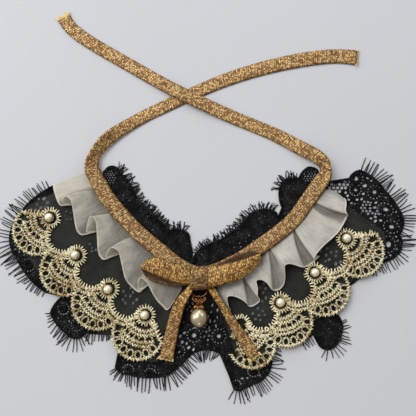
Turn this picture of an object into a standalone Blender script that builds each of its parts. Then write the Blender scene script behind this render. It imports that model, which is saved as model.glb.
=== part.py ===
"""Pet scarf: a lace, organza and chiffon bib collar on a gold knitted ribbon.

The scarf lies flat on a surface, front up. Plan tables are in millimetres from
the middle of the bow, +X to the wearer-side right, +Y towards the ties, +Z up.
The finished model is moved so that its origin is at the middle of its footprint.
"""

import math
from collections import namedtuple

import bmesh
import bpy
from mathutils import Matrix, Vector

MM = 0.001

# ---------------------------------------------------------------- driving sizes

CLOTH_WALL = 1.0            # wall of every lace, organza and chiffon layer
TRIM_WALL = 1.2             # thick venise lace of the gold trims
SEAM_GAP = 0.3              # clearance between neighbouring pieces
RIBBON_WIDTH = 10.0         # gold ribbon, a flattened knitted tube
RIBBON_WALL = 1.4

TRIM_PEARL_RADIUS = 3.0
FLOWER_RADIUS = 6.7         # gold flower ring around each small pearl
FLOWER_HOLE_RADIUS = 3.8
GAP_ARC_RADIUS = 9.2        # concave edge of the gold trim between two flowers

PENDANT_PEARL_RADIUS = 5.75
PENDANT_PEARL_STRETCH = 1.1
RING_WIRE_RADIUS = 0.5
RING_HALF_WIDTH = 4.9
EYE_RADIUS = 1.55           # eye of the charm, around the ring's wire
EYE_WIRE_RADIUS = 0.45
CHARM_WALL = 1.1

KNOT_WIDTH = 11.4
KNOT_DEPTH = 14.0
KNOT_HEIGHT = 7.4

# Heights of the layers as they lie on each other.
LACE_BASE = 0.0
PANEL_BASE = LACE_BASE + CLOTH_WALL + SEAM_GAP
TRIM_BASE = PANEL_BASE + CLOTH_WALL + SEAM_GAP
RUFFLE_MID = TRIM_BASE + CLOTH_WALL / 2
NECK_RIBBON_MID = RUFFLE_MID + CLOTH_WALL / 2 + SEAM_GAP + RIBBON_WALL / 2 + 0.15
NECK_RIBBON_BANK = -7.0     # degrees, its neck edge lower
KNOT_BASE = NECK_RIBBON_MID + RIBBON_WALL / 2 + SEAM_GAP

NECK_SEAM = 0.6             # a layer's neck edge to the neckline's middle
ARC_STEP = 4.5              # longest side of a faceted arc
SPLINE_SPANS = 4            # faceted steps between two rows of a curve table

# ---------------------------------------------------------------- tables

Point = namedtuple("Point", "x y")

# The neckline, from the centre front to each end.
NECK_LEFT = [
    Point(-3.5, 3.7), Point(-9.7, 6.4), Point(-16.3, 10.9), Point(-23.3, 16.7),
    Point(-29.5, 21.6), Point(-41.3, 31.8), Point(-54.9, 46.6), Point(-62.0, 56.0),
    Point(-68.9, 68.6),
]
NECK_RIGHT = [
    Point(3.5, 3.1), Point(11.6, 5.0), Point(24.6, 11.0), Point(37.0, 19.0), Point(49.5, 27.8),
    Point(61.0, 37.4), Point(69.3, 48.2), Point(75.7, 57.1), Point(80.6, 63.9),
]

# An outline goes round with its cloth on the left. bulge is how far the side to
# the next row stands out, and fringe is the reach of the eyelashes at the row.
Edge = namedtuple("Edge", "x y bulge fringe")

LACE_FLOUNCE = [
    Edge(-76.0, 69.0, 0.5, 0.0),
    Edge(-98.5, 60.5, 3.0, 5.0),
    Edge(-122.5, 35.0, 3.5, 9.5),
    Edge(-118.5, 12.0, 2.0, 9.0),
    Edge(-99.5, -9.0, 0.0, 4.0),
    Edge(-89.0, -11.5, 1.0, 0.0),
    Edge(-96.0, -21.5, 1.5, 3.0),
    Edge(-85.5, -35.0, 3.5, 8.0),
    Edge(-72.5, -35.0, 0.0, 7.0),
    Edge(-55.5, -36.0, 0.0, 4.0),
    Edge(-51.5, -45.5, 0.0, 0.0),
    Edge(-53.5, -56.0, 1.5, 4.0),
    Edge(-45.0, -61.0, 1.7, 7.0),
    Edge(-19.5, -61.5, 0.5, 9.0),
    Edge(-4.0, -48.0, -2.5, 7.0),
    Edge(13.5, -48.0, 0.0, 6.0),
    Edge(19.5, -62.0, 0.0, 0.0),
    Edge(22.0, -69.5, 0.6, 6.0),
    Edge(26.5, -71.0, 0.0, 8.0),
    Edge(40.5, -64.5, 2.0, 8.0),
    Edge(47.5, -50.5, 0.3, 8.0),
    Edge(49.0, -42.0, 0.0, 4.0),
    Edge(58.0, -41.5, 0.0, 0.0),
    Edge(66.0, -41.0, 0.0, 5.0),
    Edge(73.5, -36.0, 0.0, 5.0),
    Edge(76.0, -41.0, 0.5, 0.0),
    Edge(80.0, -45.0, 1.0, 6.0),
    Edge(87.0, -44.0, 1.0, 7.0),
    Edge(92.0, -36.0, 1.0, 6.0),
    Edge(92.5, -27.0, 0.3, 3.0),
    Edge(89.5, -22.0, 0.0, 0.0),
    Edge(95.0, -7.0, 0.0, 0.0),
    Edge(111.0, 4.5, 0.3, 4.0),
    Edge(121.0, 10.5, 1.0, 6.0),
    Edge(132.5, 23.5, 3.0, 9.0),
    Edge(132.5, 43.0, 1.0, 9.5),
    Edge(123.0, 58.5, 2.0, 9.5),
    Edge(107.0, 72.0, 1.2, 8.0),
    Edge(99.5, 66.5, 0.0, 0.0),
    Edge(87.5, 64.5, 0.0, 0.0),
]

# The black lace that stands out on the neck side of the ribbon.
NECK_FRILL_LEFT = [
    Edge(-3.8, 14.0, 0.5, 0.0),
    Edge(-5.5, 25.5, 1.0, 0.0),
    Edge(-8.5, 31.5, 1.0, 3.5),
    Edge(-19.0, 32.0, 0.0, 3.5),
    Edge(-30.5, 43.0, 0.5, 3.5),
    Edge(-38.5, 50.0, 0.0, 3.5),
    Edge(-45.5, 63.0, 0.0, 3.5),
    Edge(-54.0, 73.5, 2.0, 3.5),
    Edge(-62.5, 72.0, 0.6, 0.0),
    Edge(-64.0, 67.5, 0.0, 0.0),
]
NECK_FRILL_RIGHT = [
    Edge(79.5, 71.5, 1.0, 0.0),
    Edge(72.5, 74.0, 1.0, 0.0),
    Edge(66.0, 66.5, 0.0, 2.5),
    Edge(59.0, 66.5, 1.5, 3.5),
    Edge(52.8, 58.5, 1.0, 3.5),
    Edge(54.5, 46.5, 0.0, 0.0),
    Edge(52.0, 41.0, 1.0, 0.0),
    Edge(49.5, 44.5, 2.0, 3.5),
    Edge(35.0, 43.5, 0.5, 3.5),
    Edge(27.0, 35.0, 0.0, 3.5),
    Edge(14.0, 25.5, 0.5, 3.5),
    Edge(4.0, 21.5, 0.5, 3.0),
    Edge(-1.8, 14.8, 0.0, 0.0),
]

# The organza panels that carry the gold trims.
ORGANZA_PANEL_LEFT = [
    Edge(-79.0, 62.5, 0.0, 0.0),
    Edge(-95.5, 56.0, 0.0, 0.0),
    Edge(-112.0, 48.0, 2.0, 0.0),
    Edge(-118.5, 28.0, 1.5, 0.0),
    Edge(-101.5, 2.0, 1.0, 0.0),
    Edge(-83.0, -12.5, 1.0, 0.0),
    Edge(-66.5, -33.0, 1.0, 0.0),
    Edge(-55.0, -35.5, 0.0, 0.0),
    Edge(-49.0, -46.0, 1.5, 0.0),
    Edge(-26.0, -52.5, 0.0, 0.0),
    Edge(-7.0, -7.0, 0.0, 0.0),
    Edge(-5.0, 2.0, 0.0, 0.0),
]
ORGANZA_PANEL_RIGHT = [
    Edge(5.0, 2.0, 0.0, 0.0),
    Edge(10.5, -7.0, 0.0, 0.0),
    Edge(26.5, -56.0, 0.8, 0.0),
    Edge(40.5, -56.0, 1.0, 0.0),
    Edge(49.0, -42.5, 0.0, 0.0),
    Edge(65.0, -41.5, 1.0, 0.0),
    Edge(73.5, -26.5, 0.0, 0.0),
    Edge(89.5, -21.0, 1.0, 0.0),
    Edge(99.0, -1.5, 0.0, 0.0),
    Edge(119.5, 10.5, 1.5, 0.0),
    Edge(121.0, 30.5, 0.0, 0.0),
    Edge(97.5, 48.0, 0.0, 0.0),
    Edge(87.0, 58.0, 0.0, 0.0),
]

# One row for each repeat of the gold trim, from left to right: a fan that points
# away from the neck and the flower at its root. pearls is how many the flower has,
# and dx and dy are how far its pearl sits from its middle.
Motif = namedtuple("Motif", "fan_x fan_y fan_radius flower_x flower_y pearls dx dy")

GOLD_TRIM_LEFT = [
    Motif(-104.6, 31.6, 17.2, -96.7, 39.5, 1, -0.4, 0.0),
    Motif(-85.7, 5.7, 17.5, -79.1, 15.1, 1, -0.4, 0.1),
    Motif(-64.5, -15.6, 17.7, -57.7, -6.4, 1, -0.3, -0.3),
    Motif(-38.6, -34.9, 17.3, -34.0, -23.2, 1, -0.3, 0.3),
]
GOLD_TRIM_RIGHT = [
    Motif(34.1, -41.7, 15.6, 27.1, -29.2, 0, 0.0, 0.0),
    Motif(56.6, -26.7, 17.2, 52.6, -15.3, 1, -0.3, 0.3),
    Motif(80.7, -7.1, 17.3, 75.1, 3.8, 1, -0.4, 0.2),
    Motif(103.6, 17.7, 17.4, 96.1, 25.8, 1, -0.4, 0.3),
]
# Directions, in degrees from +X, in which the first and the last fan are cut.
TRIM_ENDS_LEFT = Point(134.0, -30.0)
TRIM_ENDS_RIGHT = Point(-200.0, 50.0)

# A ruffle has a row for each fold of its hem: where the fold leaves the
# neckline (a share of its length from the centre front), its hem, and the hem's rise.
Fold = namedtuple("Fold", "neck x y rise")

RUFFLE_LEFT = [
    Fold(0.03, -12.5, -8.0, 0.0),
    Fold(0.07, -16.5, -15.5, 0.0),
    Fold(0.10, -20.2, -19.4, 0.0),
    Fold(0.15, -27.9, -13.4, 0.8),
    Fold(0.21, -32.6, -3.2, 2.0),
    Fold(0.25, -37.0, -6.6, 3.4),
    Fold(0.28, -39.6, -8.3, 0.0),
    Fold(0.35, -46.8, 2.5, 1.0),
    Fold(0.42, -50.9, 16.0, 2.4),
    Fold(0.47, -58.0, 13.6, 4.0),
    Fold(0.50, -61.8, 12.2, 0.0),
    Fold(0.55, -64.8, 20.5, 0.8),
    Fold(0.60, -66.7, 30.3, 2.4),
    Fold(0.66, -71.9, 29.6, 4.0),
    Fold(0.70, -75.8, 28.3, 0.0),
    Fold(0.75, -79.2, 36.5, 0.8),
    Fold(0.80, -82.8, 48.0, 2.0),
    Fold(0.87, -88.2, 48.0, 3.0),
    Fold(0.91, -91.0, 47.3, 0.0),
    Fold(0.97, -95.0, 61.8, 0.0),
]
RUFFLE_RIGHT = [
    Fold(0.03, 11.0, -9.5, 0.0),
    Fold(0.07, 16.5, -15.0, 0.4),
    Fold(0.12, 21.5, -10.9, 2.0),
    Fold(0.16, 29.0, -14.0, 3.4),
    Fold(0.19, 34.0, -16.6, 0.0),
    Fold(0.22, 38.4, -11.5, 0.8),
    Fold(0.28, 37.4, -1.0, 2.4),
    Fold(0.33, 45.0, -4.6, 3.8),
    Fold(0.36, 49.4, -7.2, 0.0),
    Fold(0.39, 54.3, -4.5, 0.8),
    Fold(0.43, 55.7, 3.0, 1.6),
    Fold(0.48, 57.4, 9.4, 2.6),
    Fold(0.53, 65.6, 10.4, 4.0),
    Fold(0.57, 71.0, 11.6, 0.2),
    Fold(0.62, 77.3, 16.0, 0.8),
    Fold(0.70, 84.6, 22.6, 1.4),
    Fold(0.78, 90.8, 29.8, 2.0),
    Fold(0.83, 94.0, 34.8, 0.2),
    Fold(0.87, 97.2, 41.4, 1.4),
    Fold(0.93, 95.4, 51.4, 0.6),
]
RUFFLE_ACROSS = (0.0, 0.2, 0.45, 0.72, 1.0)
RUFFLE_FLAT_HEADER = 0.2    # share of the depth that stays flat under the ribbon

# A ribbon has a row for each bend: its middle, its height, the turn of its face
# about its own length (degrees, its left edge up) and its visible width.
Bend = namedtuple("Bend", "x y z bank width")

TIE_LEFT = [
    Bend(-69.14, 69.04, 4.75, 7.0, 10.0),
    Bend(-70.1, 71.2, 4.9, 10.0, 9.8),
    Bend(-70.4, 73.8, 4.9, 16.0, 9.4),
    Bend(-69.8, 76.8, 4.9, 26.0, 9.2),
    Bend(-68.4, 80.8, 4.8, 34.0, 9.0),
    Bend(-65.7, 85.3, 4.5, 34.0, 9.2),
    Bend(-61.8, 90.5, 3.8, 26.0, 9.2),
    Bend(-55.2, 96.5, 2.7, 14.0, 8.6),
    Bend(-48.0, 101.4, 1.8, 6.0, 8.2),
    Bend(-37.5, 107.7, 0.9, 0.0, 8.2),
    Bend(-24.2, 114.4, 0.8, 0.0, 8.4),
    Bend(-9.4, 121.5, 0.8, 0.0, 8.6),
    Bend(5.4, 128.2, 0.8, 0.0, 8.8),
    Bend(17.5, 133.2, 0.8, 0.0, 9.0),
    Bend(31.1, 138.0, 0.8, 0.0, 9.2),
    Bend(44.6, 141.9, 0.8, 0.0, 9.4),
    Bend(58.2, 145.2, 0.8, 0.0, 9.6),
    Bend(71.8, 147.8, 0.8, 0.0, 9.8),
    Bend(85.4, 149.6, 0.8, 0.0, 9.8),
    Bend(95.6, 150.0, 0.8, 0.0, 9.8),
    Bend(107.1, 149.0, 0.9, 0.0, 10.4),
]
TIE_RIGHT = [
    Bend(80.98, 64.42, 4.75, -7.0, 10.0),
    Bend(82.6, 67.4, 5.2, -22.0, 9.2),
    Bend(83.3, 71.2, 5.4, -46.0, 8.8),
    Bend(82.2, 75.4, 5.2, -38.0, 8.8),
    Bend(78.9, 79.2, 4.5, -22.0, 9.0),
    Bend(75.2, 81.9, 3.6, -12.0, 9.2),
    Bend(69.2, 85.4, 2.4, -4.0, 9.4),
    Bend(62.7, 89.2, 1.4, 0.0, 9.4),
    Bend(50.8, 95.6, 0.8, 0.0, 9.2),
    Bend(37.5, 101.4, 0.8, 0.0, 9.0),
    Bend(24.1, 106.9, 1.2, 0.0, 9.0),
    Bend(10.8, 112.7, 2.1, 0.0, 9.0),
    Bend(-1.0, 118.1, 2.7, 0.0, 9.0),
    Bend(-12.8, 124.0, 2.7, 0.0, 9.0),
    Bend(-26.3, 131.5, 1.4, 0.0, 9.0),
    Bend(-40.0, 139.5, 0.8, 0.0, 9.0),
    Bend(-53.6, 147.5, 0.8, 0.0, 9.0),
    Bend(-67.4, 155.6, 0.8, 0.0, 9.0),
    Bend(-77.7, 162.2, 0.8, 0.0, 9.0),
    Bend(-84.0, 166.9, 0.8, 0.0, 9.0),
    Bend(-88.9, 171.7, 0.8, 0.0, 9.0),
    Bend(-92.8, 177.8, 0.9, 0.0, 9.2),
]
TAIL_LEFT = [
    Bend(-6.2, -8.0, 8.8, 14.0, 5.6),
    Bend(-8.6, -11.4, 8.4, 14.0, 7.0),
    Bend(-11.6, -17.0, 7.2, 8.0, 8.4),
    Bend(-14.2, -26.0, 5.2, 2.0, 9.4),
    Bend(-17.2, -38.3, 3.8, 0.0, 9.8),
    Bend(-19.6, -50.4, 3.6, 0.0, 10.4),
]
TAIL_RIGHT = [
    Bend(8.5, -6.6, 7.8, 0.0, 4.8),
    Bend(10.4, -9.8, 7.8, 18.0, 4.6),
    Bend(12.4, -13.2, 7.4, 28.0, 4.4),
    Bend(14.9, -17.2, 6.8, 24.0, 4.8),
    Bend(18.0, -21.8, 6.2, 14.0, 5.6),
    Bend(23.5, -30.2, 5.5, 4.0, 6.6),
    Bend(29.5, -39.6, 5.0, 0.0, 8.2),
    Bend(35.6, -48.8, 4.9, 0.0, 8.8),
]

# The bow's loops: each goes out from the knot, round, and back below.
Loop = namedtuple("Loop", "x y z width")

LOOP_LEFT = [
    Loop(-6.2, 0.2, 11.4, 7.6),
    Loop(-12.0, 1.4, 13.2, 10.4),
    Loop(-20.0, 4.6, 14.2, 12.2),
    Loop(-28.0, 6.2, 13.4, 12.0),
    Loop(-33.4, 5.2, 10.8, 8.8),
    Loop(-30.0, 3.6, 8.0, 9.0),
    Loop(-22.0, 1.8, 7.4, 10.0),
    Loop(-13.0, 0.4, 7.4, 9.8),
    Loop(-6.2, -0.2, 8.0, 7.6),
]
LOOP_RIGHT = [
    Loop(6.6, 1.1, 11.8, 12.0),
    Loop(12.2, 2.0, 13.0, 12.4),
    Loop(20.6, 4.3, 13.6, 12.2),
    Loop(28.2, 6.8, 13.0, 11.6),
    Loop(34.2, 10.0, 11.6, 9.2),
    Loop(36.8, 12.6, 9.8, 7.0),
    Loop(34.2, 13.4, 8.0, 8.0),
    Loop(28.5, 11.4, 7.4, 9.2),
    Loop(20.8, 8.6, 7.4, 9.6),
    Loop(13.4, 5.2, 7.6, 9.4),
    Loop(6.6, 2.4, 8.2, 8.6),
]

# Outline of one half of the charm, from its foot to its top, about its middle.
CHARM_HALF = [
    Point(0.9, -3.5), Point(1.2, -2.7), Point(2.6, -2.1), Point(4.0, -1.1),
    Point(5.2, 0.4), Point(4.2, 0.7), Point(3.0, -0.2), Point(1.8, -0.6),
    Point(1.0, 0.0),
]
CHARM_TOP_Y = -12.5
CHARM_HOLE_RADIUS = 0.42

RING_FRONT_Y = -11.3        # the ring's front, which the charm swings on
RING_BACK_Y = -7.5
PENDANT_X = 0.3
PENDANT_Z = LACE_BASE + CLOTH_WALL + SEAM_GAP + PENDANT_PEARL_RADIUS
CAP_BACK_Y = CHARM_TOP_Y + CHARM_HALF[0].y - SEAM_GAP
CAP_LENGTH = 1.6
CAP_RADII = Point(3.0, 1.5)
PENDANT_PEARL_Y = CAP_BACK_Y - CAP_LENGTH - SEAM_GAP - PENDANT_PEARL_RADIUS * PENDANT_PEARL_STRETCH

# ---------------------------------------------------------------- materials

Finish = namedtuple("Finish", "colour roughness metallic alpha")

FINISHES = {
    "black_lace": Finish((0.012, 0.012, 0.014), 0.75, 0.0, 1.0),
    "black_fringe": Finish((0.010, 0.010, 0.012), 0.8, 0.0, 0.6),
    "organza": Finish((0.045, 0.045, 0.042), 0.6, 0.0, 0.7),
    "gold_lace": Finish((0.70, 0.57, 0.31), 0.55, 0.0, 1.0),
    "chiffon": Finish((0.60, 0.56, 0.50), 0.7, 0.0, 0.9),
    "gold_ribbon": Finish((0.46, 0.26, 0.08), 0.45, 0.3, 1.0),
    "gold_metal": Finish((0.80, 0.38, 0.10), 0.25, 1.0, 1.0),
    "pearl": Finish((0.84, 0.76, 0.60), 0.18, 0.0, 1.0),
}


def make_material(name):
    """One Principled material for a finish, made once and shared."""
    if name in bpy.data.materials:
        return bpy.data.materials[name]
    finish = FINISHES[name]
    material = bpy.data.materials.new(name)
    material.use_nodes = True
    shader = material.node_tree.nodes["Principled BSDF"]
    shader.inputs["Base Color"].default_value = (*finish.colour, 1.0)
    shader.inputs["Roughness"].default_value = finish.roughness
    shader.inputs["Metallic"].default_value = finish.metallic
    shader.inputs["Alpha"].default_value = finish.alpha
    material.diffuse_color = (*finish.colour, finish.alpha)
    return material


# ---------------------------------------------------------------- plan geometry


def flat(point):
    """The plan position of any table row as a 2D vector in millimetres."""
    return Vector((point.x, point.y))


def catmull(before, start, end, after, t):
    """A smooth value between start and end, for numbers or vectors."""
    return 0.5 * (
        2.0 * start
        + (end - before) * t
        + (2.0 * before - 5.0 * start + 4.0 * end - after) * t ** 2
        + (3.0 * start - before - 3.0 * end + after) * t ** 3
    )


def smooth_rows(values, spans=SPLINE_SPANS):
    """A smooth run through every value, with the given steps between two."""
    padded = [2 * values[0] - values[1], *values, 2 * values[-1] - values[-2]]
    run = []
    for index in range(len(values) - 1):
        for step in range(spans):
            run.append(catmull(*padded[index:index + 4], step / spans))
    run.append(values[-1])
    return run


def normals_right(points):
    """Unit vectors on the right of an open run of plan points."""
    result = []
    for index in range(len(points)):
        ahead = points[min(index + 1, len(points) - 1)]
        behind = points[max(index - 1, 0)]
        along = (ahead - behind).normalized()
        result.append(Vector((along.y, -along.x)))
    return result


def offset_run(points, distances):
    """The run moved to its right by a distance at each point."""
    pairs = zip(points, normals_right(points), distances)
    return [point + normal * distance for point, normal, distance in pairs]


def arc_side(start, end, bulge):
    """Points from start up to, but not at, end on an arc that bulges right."""
    chord = end - start
    length = chord.length
    count = max(1, math.ceil(length / ARC_STEP))
    if abs(bulge) < 0.05 or count == 1:
        return [start + chord * (step / count) for step in range(count)]
    radius = (length ** 2 / 4 + bulge ** 2) / (2 * bulge)
    right = Vector((chord.y, -chord.x)) / length
    centre = start + chord / 2 + right * (bulge - radius)
    turn = 2 * math.asin(max(-1.0, min(1.0, length / (2 * radius))))
    arm = start - centre
    return [centre + Matrix.Rotation(turn * step / count, 2) @ arm for step in range(count)]


def edge_run(edges):
    """All points of an open chain of Edge rows, with the fringe's reach at each."""
    points = []
    reaches = []
    for row, following in zip(edges, edges[1:]):
        side = arc_side(flat(row), flat(following), row.bulge)
        points.extend(side)
        for step in range(len(side)):
            share = step / len(side)
            both = row.fringe > 0 and following.fringe > 0
            reach = row.fringe * (1 - share) + following.fringe * share
            reaches.append(reach if both or step == 0 and row.fringe > 0 else 0.0)
    points.append(flat(edges[-1]))
    reaches.append(edges[-1].fringe)
    return points, reaches


def neck_run(rows, offset):
    """The neckline as smooth plan points, moved sideways by offset millimetres."""
    points = smooth_rows([flat(row) for row in rows])
    return offset_run(points, [offset] * len(points))


def along_run(points, share):
    """The point at a share of the length of a run."""
    lengths = [(end - start).length for start, end in zip(points, points[1:])]
    left = share * sum(lengths)
    for start, end, length in zip(points, points[1:], lengths):
        if left <= length:
            return start.lerp(end, left / length)
        left -= length
    return points[-1]


def circle_points(centre, radius, start, end, steps):
    """Points on a circle between two directions in radians."""
    angles = [start + (end - start) * step / steps for step in range(steps + 1)]
    return [centre + radius * Vector((math.cos(a), math.sin(a))) for a in angles]


def crossing(first, first_radius, second, second_radius, side):
    """Where two circles cross, on the left (+1) or right (-1) from first to second."""
    between = second - first
    distance = between.length
    along = (distance ** 2 + first_radius ** 2 - second_radius ** 2) / (2 * distance)
    height = math.sqrt(max(first_radius ** 2 - along ** 2, 0.0))
    unit = between / distance
    return first + unit * along + Vector((-unit.y, unit.x)) * height * side


def direction(centre, point):
    """The direction of point from centre in radians."""
    return math.atan2(point.y - centre.y, point.x - centre.x)


# ---------------------------------------------------------------- solids


def place(obj, material, collection):
    """Give an object its material and put it in the scarf's collection."""
    obj.data.materials.append(make_material(material))
    collection.objects.link(obj)
    return obj


def mesh_object(name, bm):
    """A named object from a finished bmesh."""
    mesh = bpy.data.meshes.new(name)
    bm.to_mesh(mesh)
    bm.free()
    return bpy.data.objects.new(name, mesh)


def plate(name, outline, base, wall, material, collection, holes=()):
    """A flat cloth wall: an outline, with any holes, raised from its base."""
    curve = bpy.data.curves.new(name, "CURVE")
    curve.dimensions = "2D"
    curve.fill_mode = "BOTH"
    curve.extrude = wall / 2 * MM
    for ring in (outline, *holes):
        spline = curve.splines.new("POLY")
        spline.points.add(len(ring) - 1)
        for target, point in zip(spline.points, ring):
            target.co = (point.x * MM, point.y * MM, 0.0, 1.0)
        spline.use_cyclic_u = True
    obj = bpy.data.objects.new(name, curve)
    obj.location.z = (base + wall / 2) * MM
    return place(obj, material, collection)


def shell(name, grid, wall, material, collection):
    """A wall through a grid of points in millimetres, by Solidify."""
    bm = bmesh.new()
    rows = [[bm.verts.new(point * MM) for point in row] for row in grid]
    for row, following in zip(rows, rows[1:]):
        for index in range(len(row) - 1):
            corners = (row[index], row[index + 1], following[index + 1], following[index])
            bm.faces.new(corners)
    bmesh.ops.recalc_face_normals(bm, faces=bm.faces)
    obj = mesh_object(name, bm)
    solidify = obj.modifiers.new("Wall", "SOLIDIFY")
    solidify.thickness = wall * MM
    solidify.offset = 0.0
    obj.data.shade_smooth()
    return place(obj, material, collection)


def sphere(name, centre, radii, segments, rings, material, collection):
    """A pearl: a sphere with its own radius along each axis."""
    bm = bmesh.new()
    bmesh.ops.create_uvsphere(bm, u_segments=segments, v_segments=rings, radius=1.0)
    bmesh.ops.scale(bm, vec=Vector(radii) * MM, verts=bm.verts)
    obj = mesh_object(name, bm)
    obj.location = Vector(centre) * MM
    obj.data.shade_smooth()
    return place(obj, material, collection)


def ribbon_grid(rows, across=(-1.0, -0.35, 0.35, 1.0), dip=0.0):
    """The middle surface of a ribbon that is banked about its own length."""
    middles = smooth_rows([Vector((row.x, row.y, row.z)) for row in rows], 3)
    banks = smooth_rows([row.bank for row in rows], 3)
    widths = smooth_rows([row.width for row in rows], 3)
    grid = []
    for index, middle in enumerate(middles):
        ahead = middles[min(index + 1, len(middles) - 1)]
        behind = middles[max(index - 1, 0)]
        along = (ahead - behind).normalized()
        left = Vector((-along.y, along.x, 0.0)).normalized()
        left = Matrix.Rotation(math.radians(banks[index]), 3, along) @ left
        up = along.cross(left)
        half = widths[index] / 2
        line = [middle + left * half * share - up * dip * share ** 2 for share in across]
        grid.append(line)
    return grid


def ribbon(name, rows, collection):
    """A length of the gold ribbon through its bends."""
    return shell(name, ribbon_grid(rows), RIBBON_WALL, "gold_ribbon", collection)


# ---------------------------------------------------------------- the pieces


def lace_with_fringe(name, fringe_name, edges, neck, collection):
    """Black lace on the surface, and a solid of the reach of each run of eyelashes."""
    points, reaches = edge_run(edges)
    plate(name, points + neck, LACE_BASE, CLOTH_WALL, "black_lace", collection)
    runs = []
    current = []
    for index, reach in enumerate(reaches):
        if reach > 0:
            current.append(index)
        elif current:
            runs.append(current)
            current = []
    if current:
        runs.append(current)
    rights = normals_right(points)
    for number, run in enumerate((r for r in runs if len(r) > 2), start=1):
        inner = [points[i] + rights[i] * SEAM_GAP for i in run]
        outer = [points[i] + rights[i] * (SEAM_GAP + reaches[i]) for i in run]
        band = outer + inner[::-1]
        own_name = f"{fringe_name}_{number}"
        plate(own_name, band, LACE_BASE, CLOTH_WALL, "black_fringe", collection)


def lace_layers(collection):
    """The flounce and the two frills of black eyelash lace."""
    around_neck = neck_run(NECK_RIGHT, NECK_SEAM)[::-1] + neck_run(NECK_LEFT, -NECK_SEAM)
    lace_with_fringe("lace_flounce", "flounce_fringe", LACE_FLOUNCE, around_neck, collection)
    left_neck = neck_run(NECK_LEFT, NECK_SEAM)[::-1][2:]
    lace_with_fringe("neck_frill_left", "frill_fringe_left", NECK_FRILL_LEFT, left_neck, collection)
    right_neck = neck_run(NECK_RIGHT, -NECK_SEAM)[:-1]
    lace_with_fringe("neck_frill_right", "frill_fringe_right", NECK_FRILL_RIGHT, right_neck, collection)


def organza_panels(collection):
    """The two dark organza panels, on the flounce."""
    left = edge_run(ORGANZA_PANEL_LEFT)[0] + neck_run(NECK_LEFT, -NECK_SEAM)[1:-3]
    right = edge_run(ORGANZA_PANEL_RIGHT)[0] + neck_run(NECK_RIGHT, NECK_SEAM)[::-1][3:-1]
    plate("organza_panel_left", left, PANEL_BASE, CLOTH_WALL, "organza", collection)
    plate("organza_panel_right", right, PANEL_BASE, CLOTH_WALL, "organza", collection)


def trim_outline(motifs, ends):
    """The outline of a gold trim: fans outside, flowers and hollow arcs inside."""
    fans = [Vector((m.fan_x, m.fan_y)) for m in motifs]
    flowers = [Vector((m.flower_x, m.flower_y)) for m in motifs]
    last = len(motifs) - 1
    notches = [
        crossing(fans[i], motifs[i].fan_radius, fans[i + 1], motifs[i + 1].fan_radius, -1)
        for i in range(last)
    ]
    outline = []
    for i, fan in enumerate(fans):
        start = math.radians(ends.x) if i == 0 else direction(fan, notches[i - 1])
        end = math.radians(ends.y) if i == last else direction(fan, notches[i])
        while end < start:
            end += 2 * math.pi
        outline.extend(circle_points(fan, motifs[i].fan_radius, start, end, 7)[:-1])
    outline.append(circle_points(fans[-1], motifs[-1].fan_radius, math.radians(ends.y), 0.0, 1)[0])
    middles = [(a + b) / 2 for a, b in zip(flowers, flowers[1:])]
    for i in range(last, -1, -1):
        flower = flowers[i]
        outward = direction(flower, fans[i])
        if i == last:
            start = outward + math.radians(75.0)
        else:
            start = direction(flower, crossing(flower, FLOWER_RADIUS, middles[i], GAP_ARC_RADIUS, 1))
        if i == 0:
            end = outward - math.radians(75.0)
        else:
            entry = crossing(middles[i - 1], GAP_ARC_RADIUS, flower, FLOWER_RADIUS, 1)
            end = direction(flower, entry)
        while end < start:
            end += 2 * math.pi
        outline.extend(circle_points(flower, FLOWER_RADIUS, start, end, 7))
        if i > 0:
            middle = middles[i - 1]
            exit_point = crossing(flowers[i - 1], FLOWER_RADIUS, middle, GAP_ARC_RADIUS, 1)
            start = direction(middle, crossing(middle, GAP_ARC_RADIUS, flower, FLOWER_RADIUS, 1))
            end = direction(middle, exit_point)
            while end > start:
                end -= 2 * math.pi
            outline.extend(circle_points(middle, GAP_ARC_RADIUS, start, end, 5)[1:-1])
    return outline


def gold_trims(collection):
    """The gold lace trims with an open flower at each repeat, and their pearls."""
    sides = (
        ("left", GOLD_TRIM_LEFT, TRIM_ENDS_LEFT),
        ("right", GOLD_TRIM_RIGHT, TRIM_ENDS_RIGHT),
    )
    for side, motifs, ends in sides:
        holes = []
        for motif in motifs:
            flower = Vector((motif.flower_x, motif.flower_y))
            holes.append(circle_points(flower, FLOWER_HOLE_RADIUS, 0.0, 2 * math.pi, 12)[:-1])
        for number, motif in enumerate((m for m in motifs if m.pearls), start=1):
            x = motif.flower_x + motif.dx
            y = motif.flower_y + motif.dy
            centre = (x, y, TRIM_BASE + TRIM_PEARL_RADIUS)
            radii = [TRIM_PEARL_RADIUS] * 3
            sphere(f"trim_pearl_{side}_{number}", centre, radii, 12, 8, "pearl", collection)
        outline = trim_outline(motifs, ends)
        plate(f"gold_trim_{side}", outline, TRIM_BASE, TRIM_WALL, "gold_lace", collection, holes)


def ruffle_grid(folds, neck_rows, side):
    """The middle surface of a ruffle: one line from neck to hem at each step."""
    neck = neck_run(neck_rows, NECK_SEAM * side)
    starts = smooth_rows([row.neck for row in folds], 2)
    hems = smooth_rows([flat(row) for row in folds], 2)
    rises = smooth_rows([row.rise for row in folds], 2)
    grid = []
    for share, hem, rise in zip(starts, hems, rises):
        header = along_run(neck, share)
        line = []
        for across in RUFFLE_ACROSS:
            plan = header.lerp(hem, across)
            climb = max(0.0, (across - RUFFLE_FLAT_HEADER) / (1 - RUFFLE_FLAT_HEADER))
            height = RUFFLE_MID + max(0.0, rise) * climb ** 2 * (3 - 2 * climb)
            line.append(Vector((plan.x, plan.y, height)))
        grid.append(line)
    return grid


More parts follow.
